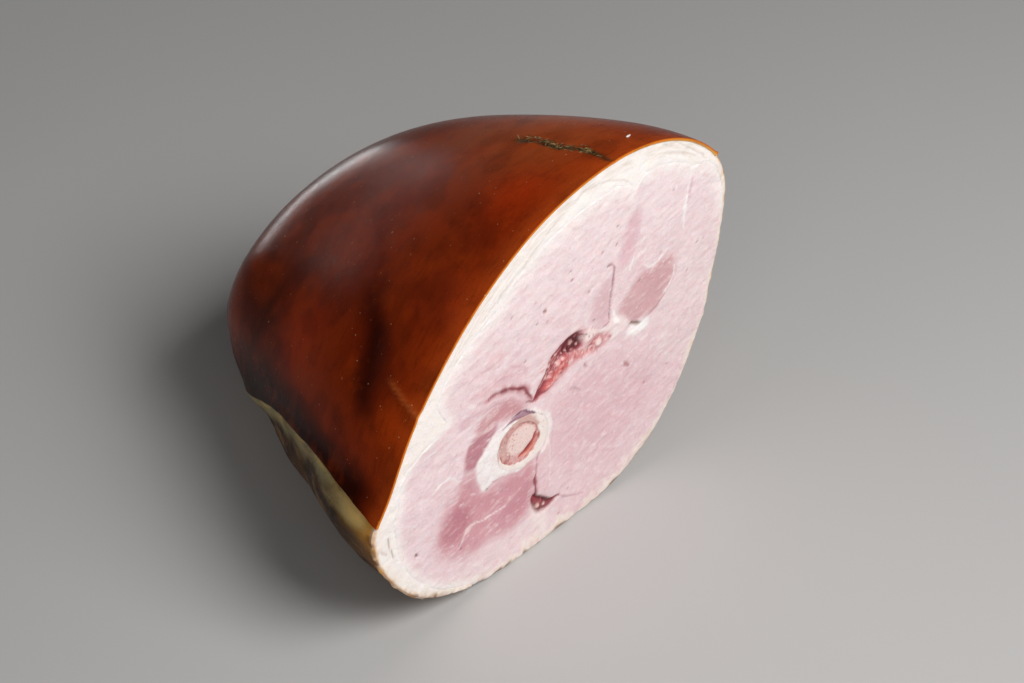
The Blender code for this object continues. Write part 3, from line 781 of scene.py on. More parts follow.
def sawn_bone():
    """Compact bone, sawn and cooked: ivory, fine-pored and matt."""
    made, tree, shader = new_material(
        "sawn_pork_bone",
        {"Subsurface Weight": 0.18, "Subsurface Radius": (1.0, 0.7, 0.5), "Subsurface Scale": 0.0010,
         "IOR": 1.5, "Specular IOR Level": 0.4},
    )
    where = add_node(tree, "ShaderNodeTexCoord").outputs["Object"]
    colour, _ = painted(tree)
    colour = tinted(tree, colour, rgba("#d9b9a2"), ranged(tree, noise(tree, where, 0.0010), 0.55, 0.80, 0.0, 0.4))
    tree.links.new(colour, shader.inputs["Base Color"])
    tree.links.new(ranged(tree, noise(tree, where, 0.002), 0.3, 0.7, 0.42, 0.62), shader.inputs["Roughness"])
    bumped(tree, shader, [(noise(tree, where, 0.0007, 3.0), 0.0002)])
    return made


def cooked_marrow():
    """Marrow: grainy, peach-coloured fat with dark specks, soft and damp."""
    made, tree, shader = new_material(
        "cooked_marrow",
        {"Subsurface Weight": 0.25, "Subsurface Radius": (1.0, 0.45, 0.3), "Subsurface Scale": 0.0010,
         "IOR": 1.42, "Specular IOR Level": 0.5},
    )
    where = add_node(tree, "ShaderNodeTexCoord").outputs["Object"]
    grains = noise(tree, where, 0.0008, 3.0)
    colour, _ = painted(tree)
    colour = tinted(tree, colour, rgba("#9c5244"), ranged(tree, grains, 0.56, 0.74, 0.0, 0.45))
    tree.links.new(colour, shader.inputs["Base Color"])
    tree.links.new(ranged(tree, grains, 0.3, 0.7, 0.35, 0.6), shader.inputs["Roughness"])
    bumped(tree, shader, [(grains, 0.0004)])
    return made


# ---------------------------------------------------------------- shared mesh work


def finish_piece(mesh, points, tone, outer, material, nodes=(), sharp=50.0):
    """Moves a mesh's points, joins those that meet, paints them and hands the piece to the frame.

    The colour is the tone; outer is how much of the dry, smoked surface each point shows.
    """
    bm = bmesh.new()
    bm.from_mesh(mesh)
    shade = bm.verts.layers.float_vector.new("shade")
    crust = bm.verts.layers.float.new("crust")
    for vert, point, colour, dry in zip(bm.verts, place(points), np.clip(tone, 0, 1), outer):
        vert.co = point
        vert[shade] = colour
        vert[crust] = dry
    bmesh.ops.remove_doubles(bm, verts=bm.verts, dist=1e-6)
    bmesh.ops.recalc_face_normals(bm, faces=bm.faces)
    tone = np.array([(*vert[shade], vert[crust]) for vert in bm.verts], np.float32)
    bm.to_mesh(mesh)
    bm.free()
    for name in ("shade", "crust", "round", "back", "far"):
        if name in mesh.attributes:
            mesh.attributes.remove(mesh.attributes[name])
    layer = mesh.color_attributes.new(name="tone", type="FLOAT_COLOR", domain="POINT")
    layer.data.foreach_set("color", tone.ravel())
    mesh.materials.append(material)
    mesh.shade_smooth()
    mesh.set_sharp_from_angle(angle=math.radians(sharp))
    piece = bpy.data.objects.new(mesh.name, mesh)
    bpy.context.scene.collection.objects.link(piece)
    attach(piece, "root")
    if nodes:
        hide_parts(*nodes)
    return piece


def mesh_from(bm, name):
    """Mesh from a bmesh, which is freed."""
    mesh = bpy.data.meshes.new(name)
    bm.to_mesh(mesh)
    bm.free()
    return mesh


def read_points(mesh):
    points = np.zeros(len(mesh.vertices) * 3)
    mesh.vertices.foreach_get("co", points)
    return points.reshape(-1, 3)


def bm_points(bm):
    return np.array([vert.co for vert in bm.verts])


def move_points(bm, points):
    for vert, point in zip(bm.verts, points):
        vert.co = point


def square_place(across, up):
    """Place round a square's rim, from 0 to 1 anticlockwise from the middle of its bottom side."""
    size = np.maximum(np.maximum(np.abs(across), np.abs(up)), 1e-9)
    u, v = across / size, up / size
    right = np.where(np.abs(u) >= np.abs(v), np.sign(u), 0)
    k = np.where(v < 0, np.mod(u / 8, 1.0), 0.5 - u / 8)
    k = np.where(right > 0, 0.25 + v / 8, k)
    return np.where(right < 0, 0.75 - v / 8, k)


def drum(front_cells, rings, refine):
    """Closed form: a gridded square front, walls of rings behind it and a point at the far end.

    Points hold their place on the square in x and y, and their ring in z.
    """
    bm = bmesh.new()
    bmesh.ops.create_grid(bm, x_segments=front_cells, y_segments=front_cells, size=1.0)
    front = bm.faces[:]
    rim = [edge for edge in bm.edges if edge.is_boundary]
    for ring in range(1, rings + 1):
        grown = bmesh.ops.extrude_edge_only(bm, edges=rim)["geom"]
        for vert in grown:
            if isinstance(vert, bmesh.types.BMVert):
                vert.co.z = ring
        rim = [edge for edge in grown if isinstance(edge, bmesh.types.BMEdge)]
        rim = [edge for edge in rim if edge.verts[0].co.z == ring == edge.verts[1].co.z]
    if refine:
        inner = {edge for face in front for edge in face.edges}
        bmesh.ops.subdivide_edges(bm, edges=list(inner), cuts=refine, use_grid_fill=True)
    return bm


def skin_sheet(around, along):
    """Open sheet of points over the ham's outside; its layers keep each point's place."""
    bm = bmesh.new()
    bmesh.ops.create_grid(bm, x_segments=around, y_segments=along, size=0.5)
    place_round = bm.verts.layers.float.new("round")
    place_back = bm.verts.layers.float.new("back")
    flat = bm_points(bm)
    k, t = flat[:, 0] + 0.5, np.sin(0.5 * math.pi * np.clip(flat[:, 1] + 0.5, 0, 1))
    for vert, point, at, back in zip(bm.verts, skin(k, t), k, t):
        vert.co = point
        vert[place_round] = at
        vert[place_back] = back
    bmesh.ops.remove_doubles(bm, verts=bm.verts, dist=1e-6)
    return bm


def sheet_places(bm):
    """Places round and back that a sheet's points keep."""
    place_round = bm.verts.layers.float["round"]
    place_back = bm.verts.layers.float["back"]
    both = np.array([(vert[place_round], vert[place_back]) for vert in bm.verts])
    return both[:, 0], np.clip(both[:, 1], 0.0, 1.0)


def trim_below(bm, edge_height):
    """Cuts away what lies below a line that rises and falls, by levelling the line first."""
    points = bm_points(bm)
    points[:, 2] -= edge_height(points)
    move_points(bm, points)
    geometry = bm.verts[:] + bm.edges[:] + bm.faces[:]
    bmesh.ops.bisect_plane(
        bm, geom=geometry, dist=1e-7, plane_co=(0, 0, 0), plane_no=(0, 0, 1), clear_inner=True
    )
    points = bm_points(bm)
    points[:, 2] += edge_height(points)
    move_points(bm, points)


def thicken(bm, cuts):
    """Closes a sheet by doubling it and walling its rim, and marks the far layer; cuts divide the wall."""
    for face in bm.faces:
        face.normal_flip() if face.normal.dot(face.calc_center_median() - Vector((0, 0.08, 0.08))) < 0 else None
    far = bm.verts.layers.float.new("far")
    grown = bmesh.ops.extrude_face_region(bm, geom=bm.faces[:], use_keep_orig=True)["geom"]
    inner = {part for part in grown if isinstance(part, bmesh.types.BMVert)}
    for vert in inner:
        vert[far] = 1.0
    across = [edge for edge in bm.edges if (edge.verts[0] in inner) != (edge.verts[1] in inner)]
    bmesh.ops.subdivide_edges(bm, edges=across, cuts=cuts, use_grid_fill=True)
    return bm


def far_share(bm):
    far = bm.verts.layers.float["far"]
    return np.array([vert[far] for vert in bm.verts])


# ---------------------------------------------------------------- the pieces


def stood(points):
    """Nothing reaches below the surface that the ham stands on."""
    points[:, 2] = np.maximum(points[:, 2], 0.0)
    return points


def outside_tone(points, over_fat):
    """Colour of the outside that has no rind: smoke-brown meat and yellowed fat, cracked and mottled."""
    tone = np.tile(srgb("#b98a5e"), (len(points), 1))
    broad, middle, fine = waves(points, 0.030, 91), waves(points, 0.011, 92), waves(points, 0.0045, 93)
    tone = mix(tone, 0.7 * smooth(0.5 + broad), "#c9a070")
    tone = mix(tone, 0.55 * smooth(middle), "#8f5a34")
    tone = mix(tone, 0.45 * smooth(-middle - 0.1), "#e2c79a")
    tone = mix(tone, 0.35 * smooth(fine), "#7a4526")
    tone = mix(tone, 0.30 * smooth(-fine), "#e8d2ac")
    front = smooth(1 - points[:, 1] / 0.05)
    tone = mix(tone, over_fat * 0.55 * front, "#c98a3a")
    creases = np.abs(waves(points * np.array([1.0, 0.5, 1.6]), 0.014, 94))
    tone = mix(tone, 0.6 * smooth(1 - creases / 0.10), "#4f2c17")
    return tone


def outside_relief(points):
    """Lumps, knife marks and shallow cracks of the side without rind."""
    creases = np.abs(waves(points * np.array([1.0, 0.5, 1.6]), 0.014, 94))
    relief = 0.9 * MM * waves(points, 0.034, 95) + 0.45 * MM * waves(points, 0.012, 96)
    relief += 0.16 * MM * waves(points, 0.004, 97)
    return relief - 0.7 * MM * smooth(1 - creases / 0.16)


def trimmed_in(points):
    """How far the knife went in below the rind's edge on the side that faces left."""
    below = rind_edge(points) - points[:, 2]
    along = smooth((points[:, 1] - 0.022) / 0.05) * smooth((0.170 - points[:, 1]) / 0.03)
    return 4.2 * MM * along * smooth(below / 0.010) * smooth(-(points[:, 0] + 0.02) / 0.05)


def ragged_edge(points):
    """Small tags and nicks of the bare rim, strongest at the saw cut."""
    near = smooth(1 - points[:, 1] / 0.014)
    here = smooth(0.5 + waves(points, 0.023, 100))
    tags = 0.35 * MM * waves(points, 0.0120, 98, 24) + 0.45 * MM * here * waves(points, 0.0042, 99, 40)
    return near * tags


def oval_reach(x, z, centre, wide, tall, turn):
    """How far points lie from a tilted oval's centre, where 1 is on the oval."""
    c, s = math.cos(math.radians(turn)), math.sin(math.radians(turn))
    u, v = (x - centre[0]) * c + (z - centre[1]) * s, (z - centre[1]) * c - (x - centre[0]) * s
    return np.hypot(u / (0.5 * wide), v / (0.5 * tall))


def make_lean(material):
    """The meat: a gridded sawn face with a socket for the bone, and rings back to the rounded end."""
    cells, rings = 140, 36
    mesh = mesh_from(drum(cells, rings, 1), "cured_lean")
    flat = read_points(mesh)
    size = np.maximum(np.abs(flat[:, 0]), np.abs(flat[:, 1]))
    k = square_place(flat[:, 0], flat[:, 1])
    t = np.sin(0.5 * math.pi * flat[:, 2] / rings)
    outside = skin(k, t)
    depth = fat_depth(k, t, outside)
    tucked = np.maximum(depth - 1.0 * MM, 0.0) + 0.25 * MM
    bare = smooth(1 - depth / 0.0015)
    relief = bare * (outside_relief(outside) * smooth(t / 0.04 + 0.25) + ragged_edge(outside))
    rim = outside + carve_way(k, t) * (relief - tucked - trimmed_in(outside))[:, None]
    middle = np.array([0.0, 0.0, AXIS_HEIGHT])
    front = flat[:, 2] < 0.5
    points = rim.copy()
    points[front] = middle + (rim[front] - middle) * size[front, None]
    face = points[front]
    from_rim = np.linalg.norm(rim - points, axis=1)[front]
    inset = from_rim + np.maximum(tucked[front] - relief[front], 0.0)
    art = paint_face(face, inset)
    fatty = smooth(depth[front] / 0.003)
    fading = 0.006 + 0.004 * smooth((face[:, 2] - 0.09) / 0.05)
    art.lay(0.92 * fatty * smooth(1.12 - (from_rim - 0.8 * MM) / fading), "#f8eeea")
    face[:, 1] = -(art.relief * MM) + 0.5 * MM * smooth(1 - from_rim / 0.0015)
    socket = smooth((0.97 - oval_reach(face[:, 0], face[:, 2], *BONE_OUTER)) / 0.06)
    face[:, 1] = face[:, 1] * (1 - socket) + 4.0 * MM * socket
    points[front] = face
    tone = outside_tone(outside, np.zeros(len(points)))
    tone[front] = art.colour
    outer = np.where(front, 0.0, 1.0)
    outer[front] = art.crust
    return finish_piece(mesh, stood(points), tone, outer, material, ["lean"])


# Broad shades of the smoked rind, partly its own colours and partly painted shade and painted sheen, as marked: middle
# in metres, reach in millimetres, strength and colour.
RIND_SHADES = [
    # Partly the rind's own dark brown, partly painted shade: the low left side, which faces away from the lamps, is
    # painted darker.
    ((-0.055, 0.125, 0.095), 46, 0.82, "#3c180b"),
    ((-0.072, 0.092, 0.106), 24, 0.90, "#bb3a0b"),
    ((-0.100, 0.040, 0.098), 20, 0.50, "#a8380a"),
    ((-0.033, 0.036, 0.171), 24, 0.75, "#62200c"),
    ((-0.050, 0.052, 0.154), 18, 0.60, "#6c210a"),
    ((0.000, 0.024, 0.187), 17, 0.85, "#ab2c06"),
    ((-0.010, 0.070, 0.168), 24, 0.50, "#92300c"),
    # Partly the rind's own orange, partly painted sheen: these two lighter patches on the top stand in for the back
    # light's sheen there.
    ((0.050, 0.050, 0.180), 42, 0.80, "#bb5726"),
    ((0.045, 0.092, 0.167), 28, 0.60, "#a85c3c"),
    ((0.020, 0.150, 0.135), 40, 0.50, "#6d2c14"),
    ((-0.097, 0.006, 0.115), 18, 0.70, "#bd430d"),
    ((-0.055, 0.006, 0.160), 18, 0.60, "#9c3818"),
]


def rind_tone(points):
    """Colour of the smoked rind: bright red-brown, with painted shade in the hollow, a near-black painted shade along
    its lower edge and a painted highlight along the crease.
    """
    tone = np.tile(srgb("#7d270a"), (len(points), 1))
    uneven = points + 6.0 * MM * np.stack([waves(points, 0.030, seed) for seed in (104, 105, 106)], -1)
    for middle, reach, strength, code in RIND_SHADES:
        gap = np.linalg.norm(uneven - np.array(middle), axis=1) / (reach * MM)
        tone = mix(tone, strength * np.exp(-(gap**2)), code)
    over_edge = points[:, 2] - rind_edge(points)
    tone = mix(tone, 0.40 * smooth(1 - points[:, 1] / 0.012), "#b8501c")
    tone = mix(tone, 0.30 * smooth(waves(points, 0.020, 102) * 1.4), "#b04010")
    tone = mix(tone, 0.30 * smooth(waves(points, 0.012, 103) * 1.4), "#501706")
    # Painted shade: a near-black band just above the rind's lower edge, where the rind turns under, away from the
    # lamps.
    band = 0.012 + 0.010 * smooth((points[:, 1] - 0.05) / 0.07)
    tone = mix(tone, 0.93 * smooth(1.25 - over_edge / band) * smooth(points[:, 1] / 0.02), "#220903")
    # Painted shade in the hollow of the dent.
    gap, share = along_path(uneven, curve_through(DENT, closed=False))
    tone = mix(tone, 0.90 * np.exp(-((gap / 0.010) ** 2)) * smooth(1.2 - np.abs(share - 0.5)), "#330d05")
    gap, share = along_path(points, curve_through(SCAR, closed=False))
    frayed = np.exp(-((gap / (0.0024 - 0.0010 * share)) ** 4)) * smooth(share / 0.1 + 0.3)
    tone = mix(tone, 0.92 * frayed, "#5a4226")
    tone = mix(tone, 0.70 * frayed * smooth(waves(points, 0.0035, 107, 30)), "#a88d5c")
    tone = mix(tone, 0.80 * frayed * smooth((share - 0.75) / 0.1), "#2c1a0c")
    # Painted highlight: a light orange line along the ridge of the crease.
    gap, share = along_path(points, curve_through(CREASE, closed=False))
    return mix(tone, 0.55 * np.exp(-((gap / 0.0011) ** 2)) * smooth(share / 0.3), "#c46a34")


def make_rind(material):
    bm = skin_sheet(480, 130)
    trim_below(bm, rind_edge)
    thicken(bm, 3)
    k, t = sheet_places(bm)
    far = far_share(bm)
    mesh = mesh_from(bm, "smoked_rind")
    points = read_points(mesh)
    way = carve_way(k, t)
    relief = rind_relief(points)
    wall = np.sin(math.pi * np.clip(far, 0, 1))
    low_edge = smooth(1 - (points[:, 2] - rind_edge(points)) / 0.004)
    moved = points + way * (relief + 0.2 * MM - RIND_THICKNESS * far)[:, None]
    lip = smooth(1 - t / 0.02)
    moved[:, 1] -= (0.25 * MM + 0.45 * MM * wall) * lip
    moved += way * (0.6 * MM * low_edge * (1 - far))[:, None]
    moved[:, 2] -= 0.5 * MM * wall * low_edge * (1 - lip)
    tone = rind_tone(points)
    tone = mix(tone, lip * smooth(far / 0.30), "#d27c24")
    tone = mix(tone, lip * smooth((far - 0.45) / 0.4), "#eeb768")
    tone = mix(tone, low_edge * (1 - lip) * smooth(far / 0.3) * 0.8, "#b98a4a")
    return finish_piece(mesh, stood(moved), tone, np.zeros(len(k)), material)


def make_frayed_scar(material):
    """Dried fibres that stand up from the scar, and one white fleck of fat beside it."""
    rng = np.random.default_rng(141)
    path = curve_through(SCAR, closed=False)
    bm = bmesh.new()
    shades = []
    for _ in range(150):
        share = rng.beta(2.2, 1.8) * 0.92 + 0.04
        at = path[int(share * (len(path) - 1))] + rng.normal(0, 1, 3) * (1.2 * MM, (0.7 + 0.9 * math.sin(math.pi * share)) * MM, 0)
        length = rng.uniform(1.4, 3.6) * MM
        cone = bmesh.ops.create_cone(
            bm, cap_ends=True, segments=5, radius1=0.22 * MM, radius2=0.07 * MM, depth=length
        )["verts"]
        lean = Matrix.Rotation(rng.uniform(1.05, 1.60), 3, "X")
        turn = Matrix.Rotation(rng.normal(0.05, 0.75), 3, "Z")
        bmesh.ops.rotate(bm, verts=cone, cent=(0, 0, 0), matrix=turn @ lean)
        bmesh.ops.translate(bm, verts=cone, vec=at + (0, 0, rng.uniform(-0.35, 0.25) * MM))
        code = rng.choice(["#8f7548", "#b39a66", "#5a4226", "#6d5633", "#3c2a18"])
        shades += [srgb(code)] * len(cone)
    fleck = bmesh.ops.create_icosphere(bm, subdivisions=3, radius=1.0)["verts"]
    bmesh.ops.scale(bm, verts=fleck, vec=(1.5 * MM, 0.55 * MM, 0.30 * MM))
    bmesh.ops.translate(bm, verts=fleck, vec=(0.060, 0.011, 0.1922))
    shades += [srgb("#f3ece6")] * len(fleck)
    points = bm_points(bm)
    mesh = mesh_from(bm, "frayed_scar")
    return finish_piece(mesh, points, np.array(shades), np.zeros(len(points)), material)


def fat_floor(points):
    """Height of the line that the fat piece is trimmed along, below where its depth runs out."""
    height, rise, fall = FAT_EDGE
    near_side = smooth(-(points[:, 0] + 0.03) / 0.06)
    return height + rise * points[:, 0] + fall * points[:, 1] - 0.016 - 0.030 * near_side


def make_fat(material):
    bm = skin_sheet(640, 90)
    trim_below(bm, fat_floor)
    thicken(bm, 14)
    k, t = sheet_places(bm)
    far = far_share(bm)
    mesh = mesh_from(bm, "back_fat")
    points = read_points(mesh)
    way = carve_way(k, t)
    depth = fat_depth(k, t, points)
    covered = smooth(0.5 + (points[:, 2] - rind_edge(points) - 0.0005) / 0.002)
    under_rind = covered * (RIND_THICKNESS - 0.4 * MM)
    calm = smooth(t / 0.10)
    bulge = (1 - covered) * calm * (0.4 * MM * fat_cover(points) + outside_relief(points) * 0.6)
    bulge += (1 - covered) * (ragged_edge(points) - 0.5 * MM * smooth(1 - np.abs(t - 0.06) / 0.06))
    sunk = 1.2 * MM * (1 - smooth(depth / 0.0015))
    outer = bulge - under_rind - sunk + covered * rind_relief(points) - trimmed_in(points)
    inner = -np.maximum(depth, 0.0) - 0.0002
    reach = outer * (1 - far) + np.minimum(inner, outer - 0.0004) * far
    moved = points + way * reach[:, None]
    front = t < 1e-5
    inset = -reach[front]
    art = Painting(moved[front, 0] / MM, moved[front, 2] / MM, WHITE_FAT)
    paint_fat(art, inset / MM, k[front])
    to_lean = depth[front] - inset
    art.lay(0.80 * smooth(1 - to_lean / 0.0030), "#f8eeea")
    paint_rim(art, inset / MM)
    moved[front, 1] = -(art.relief * MM) - 0.02 * MM + 0.12 * MM * smooth(1 - to_lean / 0.0012)
    moved[front, 1] += 0.8 * MM * smooth(1 - inset / 0.0012) * (1 - covered[front])
    tone = strip_tone(points)
    runs_out = 0.85 * smooth(1.2 - depth / 0.005) * smooth((rind_edge(points) - points[:, 2]) / 0.010)
    tone += runs_out[:, None] * (outside_tone(points, np.ones(len(k))) - tone)
    tone[front] = art.colour
    outer = np.where(front, 0.0, (1 - covered) * (0.25 + 0.75 * smooth((points[:, 1] - 0.010) / 0.03)))
    outer[front] = art.crust
    return finish_piece(mesh, stood(moved), tone, outer, material, ["fat_layer"])


def strip_tone(points):
    """Colour of the fat's outside below the rind: cream by the rind, then smoked brown, gold by the cut. All of it is
    painted darker, as painted shade on this side away from the lamps, and the gold and cream by the cut are painted
    brighter, as painted light shining through the fat.
    """
    y = points[:, 1]
    # Painted shade: the dark browns, and the dull cream band further down, are darker than the fat is, as the strip
    # faces down and away from the lamps.
    tone = np.tile(srgb("#43280b"), (len(points), 1))
    streaks = waves(points * np.array([1.0, 0.45, 1.0]), 0.0055, 112, 30)
    broad = waves(points, 0.016, 113)
    tone = mix(tone, 0.70 * smooth(0.3 + streaks), "#241304")
    tone = mix(tone, 0.50 * smooth(-streaks), "#7d5215")
    tone = mix(tone, 0.35 * smooth(broad), "#6b4716")
    far_round = smooth((points[:, 0] + 0.07) / 0.04)
    tone = mix(tone, far_round, "#a5794a")
    tone = mix(tone, 0.6 * far_round * smooth(broad), "#7c4c28")
    below = rind_edge(points) - points[:, 2] + 1.6 * MM * waves(points, 0.012, 111)
    by_cut = smooth(1.1 - y / 0.036)
    tone = mix(tone, 0.70 * smooth(1 - y / 0.016), "#8a5512")
    # Partly the fat's own amber, partly painted light: by the cut the gold is painted bright, as if light from the
    # sawn face shone through the fat.
    golden = smooth(1 - y / 0.020) * smooth(1.5 - below / 0.013)
    tone = mix(tone, 0.95 * golden, "#f2ab3c")
    tone = mix(tone, 0.85 * golden * smooth(waves(points, 0.0040, 114, 30) * 1.6 - 0.3), "#8a480c")
    cream = smooth(1.45 - below / (0.0050 + 0.0022 * by_cut)) * smooth((y - 0.003) / 0.010)
    tone = mix(tone, 0.94 * cream, "#a3966a")
    # Painted light: by the cut the cream is painted pale and bright, as if light shone through the fat.
    tone = mix(tone, 0.95 * cream * by_cut, "#ffd27c")
    tone = mix(tone, 0.30 * cream * smooth(streaks), "#8b7c4e")
    tone = mix(tone, 0.6 * smooth(1.2 - below / 0.0012), "#d9b872")
    return mix(tone, 0.85 * smooth(1.3 - y / 0.0016), "#e0912c")


def oval_at(angles, centre, wide, tall, turn):
    """Points of a tilted oval at angles, as (x, z)."""
    c, s = math.cos(math.radians(turn)), math.sin(math.radians(turn))
    u, v = 0.5 * wide * np.cos(angles), 0.5 * tall * np.sin(angles)
    return np.stack([centre[0] + u * c - v * s, centre[1] + u * s + v * c], -1)


def make_bone(material):
    """A tube from its closed far end to the sawn ring and back down the bore to a closed end."""
    shares = np.array([0.0, 0.35, 0.7, 0.92, 1.0] + [1.0] * 14 + [1.0] * 8)
    outer_back = [1.0, 0.985, 0.94, 0.5, 0.10, 0.03, 0.006]
    steps = []
    for r, y in zip([0.0, 0.6, 1.0, 1.0, 1.0, 1.0, 1.0], outer_back):
        steps.append((0.0, r, y * BONE_LENGTH))
    for i in range(15):
        steps.append((i / 14, 1.0, 0.0))
    for y in (0.01, 0.04, 0.15, 0.5, 1.0):
        steps.append((1.0, 1.0, y * MARROW_LENGTH))
    steps.append((1.0, 0.0, MARROW_LENGTH))
    steps = np.array(steps)
    bm = bmesh.new()
    bmesh.ops.create_grid(bm, x_segments=112, y_segments=len(steps) - 1, size=0.5)
    mesh = mesh_from(bm, "thigh_bone_ring")
    flat = read_points(mesh)
    row = np.rint((flat[:, 1] + 0.5) * (len(steps) - 1)).astype(int)
    inward, size, back = steps[row].T
    angles = 2 * math.pi * (flat[:, 0] + 0.5)
    outer = oval_at(angles, *BONE_OUTER)
    inner = oval_at(angles, *BONE_INNER)
    wobble = 1 + 0.015 * np.sin(3 * angles + 1) + 0.01 * np.sin(5 * angles)
    inner = np.array(BONE_INNER[0]) + (inner - BONE_INNER[0]) * wobble[:, None]
    rim = outer + (inner - outer) * inward[:, None]
    centre = np.where(inward[:, None] > 0.5, BONE_INNER[0], BONE_OUTER[0])
    ring = centre + (rim - centre) * size[:, None]
    points = np.stack([ring[:, 0], back, ring[:, 1]], -1)
    art = Painting(points[:, 0] / MM, points[:, 2] / MM, BONE_IVORY)
    art.lay(0.35 * smooth(waves(art.flat, 6.0, 121)), "#f8f1ec")
    # Partly the bone's own brownish pink, partly painted shade: a band with a darker line along the ring's upper left.
    art.stroke([(-41, 68), (-40.5, 76), (-37, 82), (-30, 85.5), (-23, 84), (-17, 80), (-13, 75)], 5.0, "#c9938a", 0.80)
    art.stroke([(-39, 72), (-37.5, 78), (-32, 82), (-25, 81.5), (-18, 78)], 1.6, "#a9655c", 0.60)
    art.stroke([(-41, 68), (-38, 61.5), (-31, 57)], 2.0, "#e3bdb2", 0.60)
    rng = np.random.default_rng(122)
    for x, z in rng.normal((-25, 70), (13, 12), (90, 2)):
        art.spot(x, z, rng.uniform(0.8, 1.3), "#b05a50", rng.uniform(0.15, 0.45))
    rim_red = smooth(1 - (1 - inward) / 0.16) * (inward > 0.5)
    art.lay(0.75 * rim_red * smooth(0.6 + waves(art.flat, 2.6, 124)), "#b5453c")
    sawn = (back < 0.0002) & (size > 0.99)
    points[sawn, 1] = -0.25 * MM - 0.12 * MM * waves(art.flat[sawn], 3.0, 123)
    points[sawn, 1] += 0.30 * MM * (np.abs(2 * inward[sawn] - 1) ** 6)
    return finish_piece(mesh, points, art.colour, art.crust, material, ["thigh_bone"])


def make_marrow(material):
    rings = 14
    mesh = mesh_from(drum(28, rings, 1), "marrow_plug")
    flat = read_points(mesh)
    size = np.maximum(np.abs(flat[:, 0]), np.abs(flat[:, 1]))
    angles = 2 * math.pi * (square_place(flat[:, 0], flat[:, 1]) - 0.25)
    oval = oval_at(angles, BONE_INNER[0], BONE_INNER[1] + 0.6 * MM, BONE_INNER[2] + 0.6 * MM, BONE_INNER[3])
    ring = flat[:, 2]
    closing_in = np.where(ring > rings - 3, (rings - ring) / 3, 1.0)
    section = np.array(BONE_INNER[0]) + (oval - BONE_INNER[0]) * (size * closing_in)[:, None]
    points = np.stack([section[:, 0], MARROW_LENGTH * ring / rings, section[:, 1]], -1)
    front = ring < 0.5
    art = Painting(points[:, 0] / MM, points[:, 2] / MM, MARROW_PINK)
    art.lay(0.5 * smooth(waves(art.flat, 5.0, 131)), "#ebc8c2")
    art.lay(0.4 * smooth(-waves(art.flat, 3.0, 132)), "#cb8f88")
    art.lay(0.35 * smooth((-30 - art.flat[:, 0]) / 5), "#b9938a")
    art.zone([(-34, 75), (-29, 79), (-22, 79.5), (-15.5, 76), (-13, 70), (-17, 65.5), (-25, 65), (-32, 68)],
             "#f3d9d2", 3.5, 0.90, 0.12)
    art.stroke([(-35, 76), (-29, 80.5), (-21, 80), (-15, 76)], 0.9, "#a4625a", 0.55, -0.15)
    # A red gap in the marrow: partly its own red, partly painted shade, near black along the bottom of the gap.
    art.stroke([(-25, 62.5), (-20, 63), (-15.5, 66), (-12.6, 70.5)], 2.6, "#a8322c", 0.95, -0.9, 0.5)
    art.stroke([(-24, 63.5), (-18, 64.6), (-13.5, 69)], 1.1, "#4d120f", 0.85, -0.5)
    art.stroke([(-24, 61.4), (-18, 62), (-13, 65.5)], 1.1, "#e2917a", 0.7, 0.2)
    edge = oval_reach(art.flat[:, 0] * MM, art.flat[:, 1] * MM, *BONE_INNER)
    art.lay(0.60 * smooth((edge - 0.86) / 0.10) * smooth(0.5 + waves(art.flat, 2.4, 134)), "#b9483e")
    rng = np.random.default_rng(133)
    for x, z in rng.normal((-34, 69), (4.0, 6.5), (80, 2)):
        art.spot(x, z, rng.uniform(0.7, 1.2), rng.choice(["#b4604f", "#97463c", "#f3d9cb"]),
                 rng.uniform(0.25, 0.7), rng.uniform(-0.25, 0.2))
    points[front, 1] = 0.25 * MM - art.relief[front] * MM
    return finish_piece(mesh, points, art.colour, art.crust, material, ["marrow"])


# ---------------------------------------------------------------- floor, light and camera

VIEW_AZIMUTH = math.radians(-48)
VIEW_ELEVATION = math.radians(38)
VIEW_DISTANCE = 1.2
VIEW_TARGET = (0.01045, 0.03679, 0.0900)


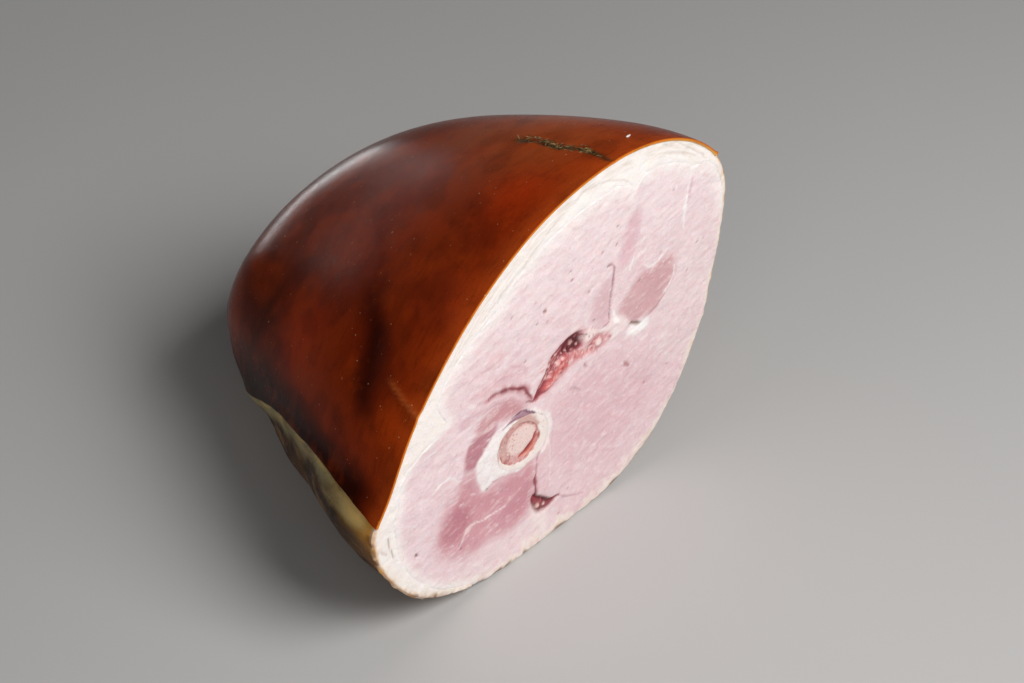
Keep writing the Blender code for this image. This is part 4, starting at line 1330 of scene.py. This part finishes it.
def make_stage():
    bm = bmesh.new()
    bmesh.ops.create_grid(bm, x_segments=1, y_segments=1, size=4.0)
    mesh = mesh_from(bm, "studio_floor")
    made, tree, shader = new_material("painted_floor", {"Roughness": 0.7, "Specular IOR Level": 0.2})
    shader.inputs["Base Color"].default_value = rgba("#bdbbb9")
    mesh.materials.append(made)
    floor = bpy.data.objects.new("studio_floor", mesh)
    floor.location.z = -0.0003
    bpy.context.scene.collection.objects.link(floor)


def add_light(name, place_at, aim, size, power, colour=(1, 1, 1)):
    data = bpy.data.lights.new(name, "AREA")
    data.shape, data.size, data.size_y, data.energy, data.color = "RECTANGLE", *size, power, colour
    lamp = bpy.data.objects.new(name, data)
    lamp.location = place_at
    lamp.rotation_euler = (Vector(aim) - Vector(place_at)).to_track_quat("-Z", "Y").to_euler()
    bpy.context.scene.collection.objects.link(lamp)


def make_light():
    add_light("key_softbox", (0.10, -1.10, 1.20), (0, -0.05, 0.1), (0.9, 0.9), 24.0)
    add_light("left_softbox", (-1.00, -0.90, 0.90), (0, 0, 0.1), (1.0, 1.0), 5.0)
    add_light("back_strip", (0.44, 1.30, 0.035), (0, 0.05, 0.12), (0.70, 0.06), 2.9)
    world = bpy.data.worlds.new("studio_air")
    world.use_nodes = True
    world.node_tree.nodes["Background"].inputs["Color"].default_value = (0.9, 0.92, 0.95, 1)
    world.node_tree.nodes["Background"].inputs["Strength"].default_value = 0.04
    bpy.context.scene.world = world
    bpy.context.scene.view_settings.view_transform = "Standard"


def make_camera():
    data = bpy.data.cameras.new("camera")
    data.lens = 90.0
    data.sensor_width = 36.0
    data.dof.use_dof = False
    camera = bpy.data.objects.new("camera", data)
    target = Vector(place(np.array([VIEW_TARGET]))[0])
    back = Vector((math.sin(VIEW_AZIMUTH) * math.cos(VIEW_ELEVATION),
                   -math.cos(VIEW_AZIMUTH) * math.cos(VIEW_ELEVATION), math.sin(VIEW_ELEVATION)))
    camera.location = target + back * VIEW_DISTANCE
    camera.rotation_euler = (-back).to_track_quat("-Z", "Y").to_euler()
    bpy.context.scene.collection.objects.link(camera)
    bpy.context.scene.camera = camera


make_stage()
make_light()
make_camera()
make_lean(cured_lean())
make_fat(back_fat())
make_rind(smoked_skin())
make_frayed_scar(dried_fibre())
make_bone(sawn_bone())
make_marrow(cooked_marrow())
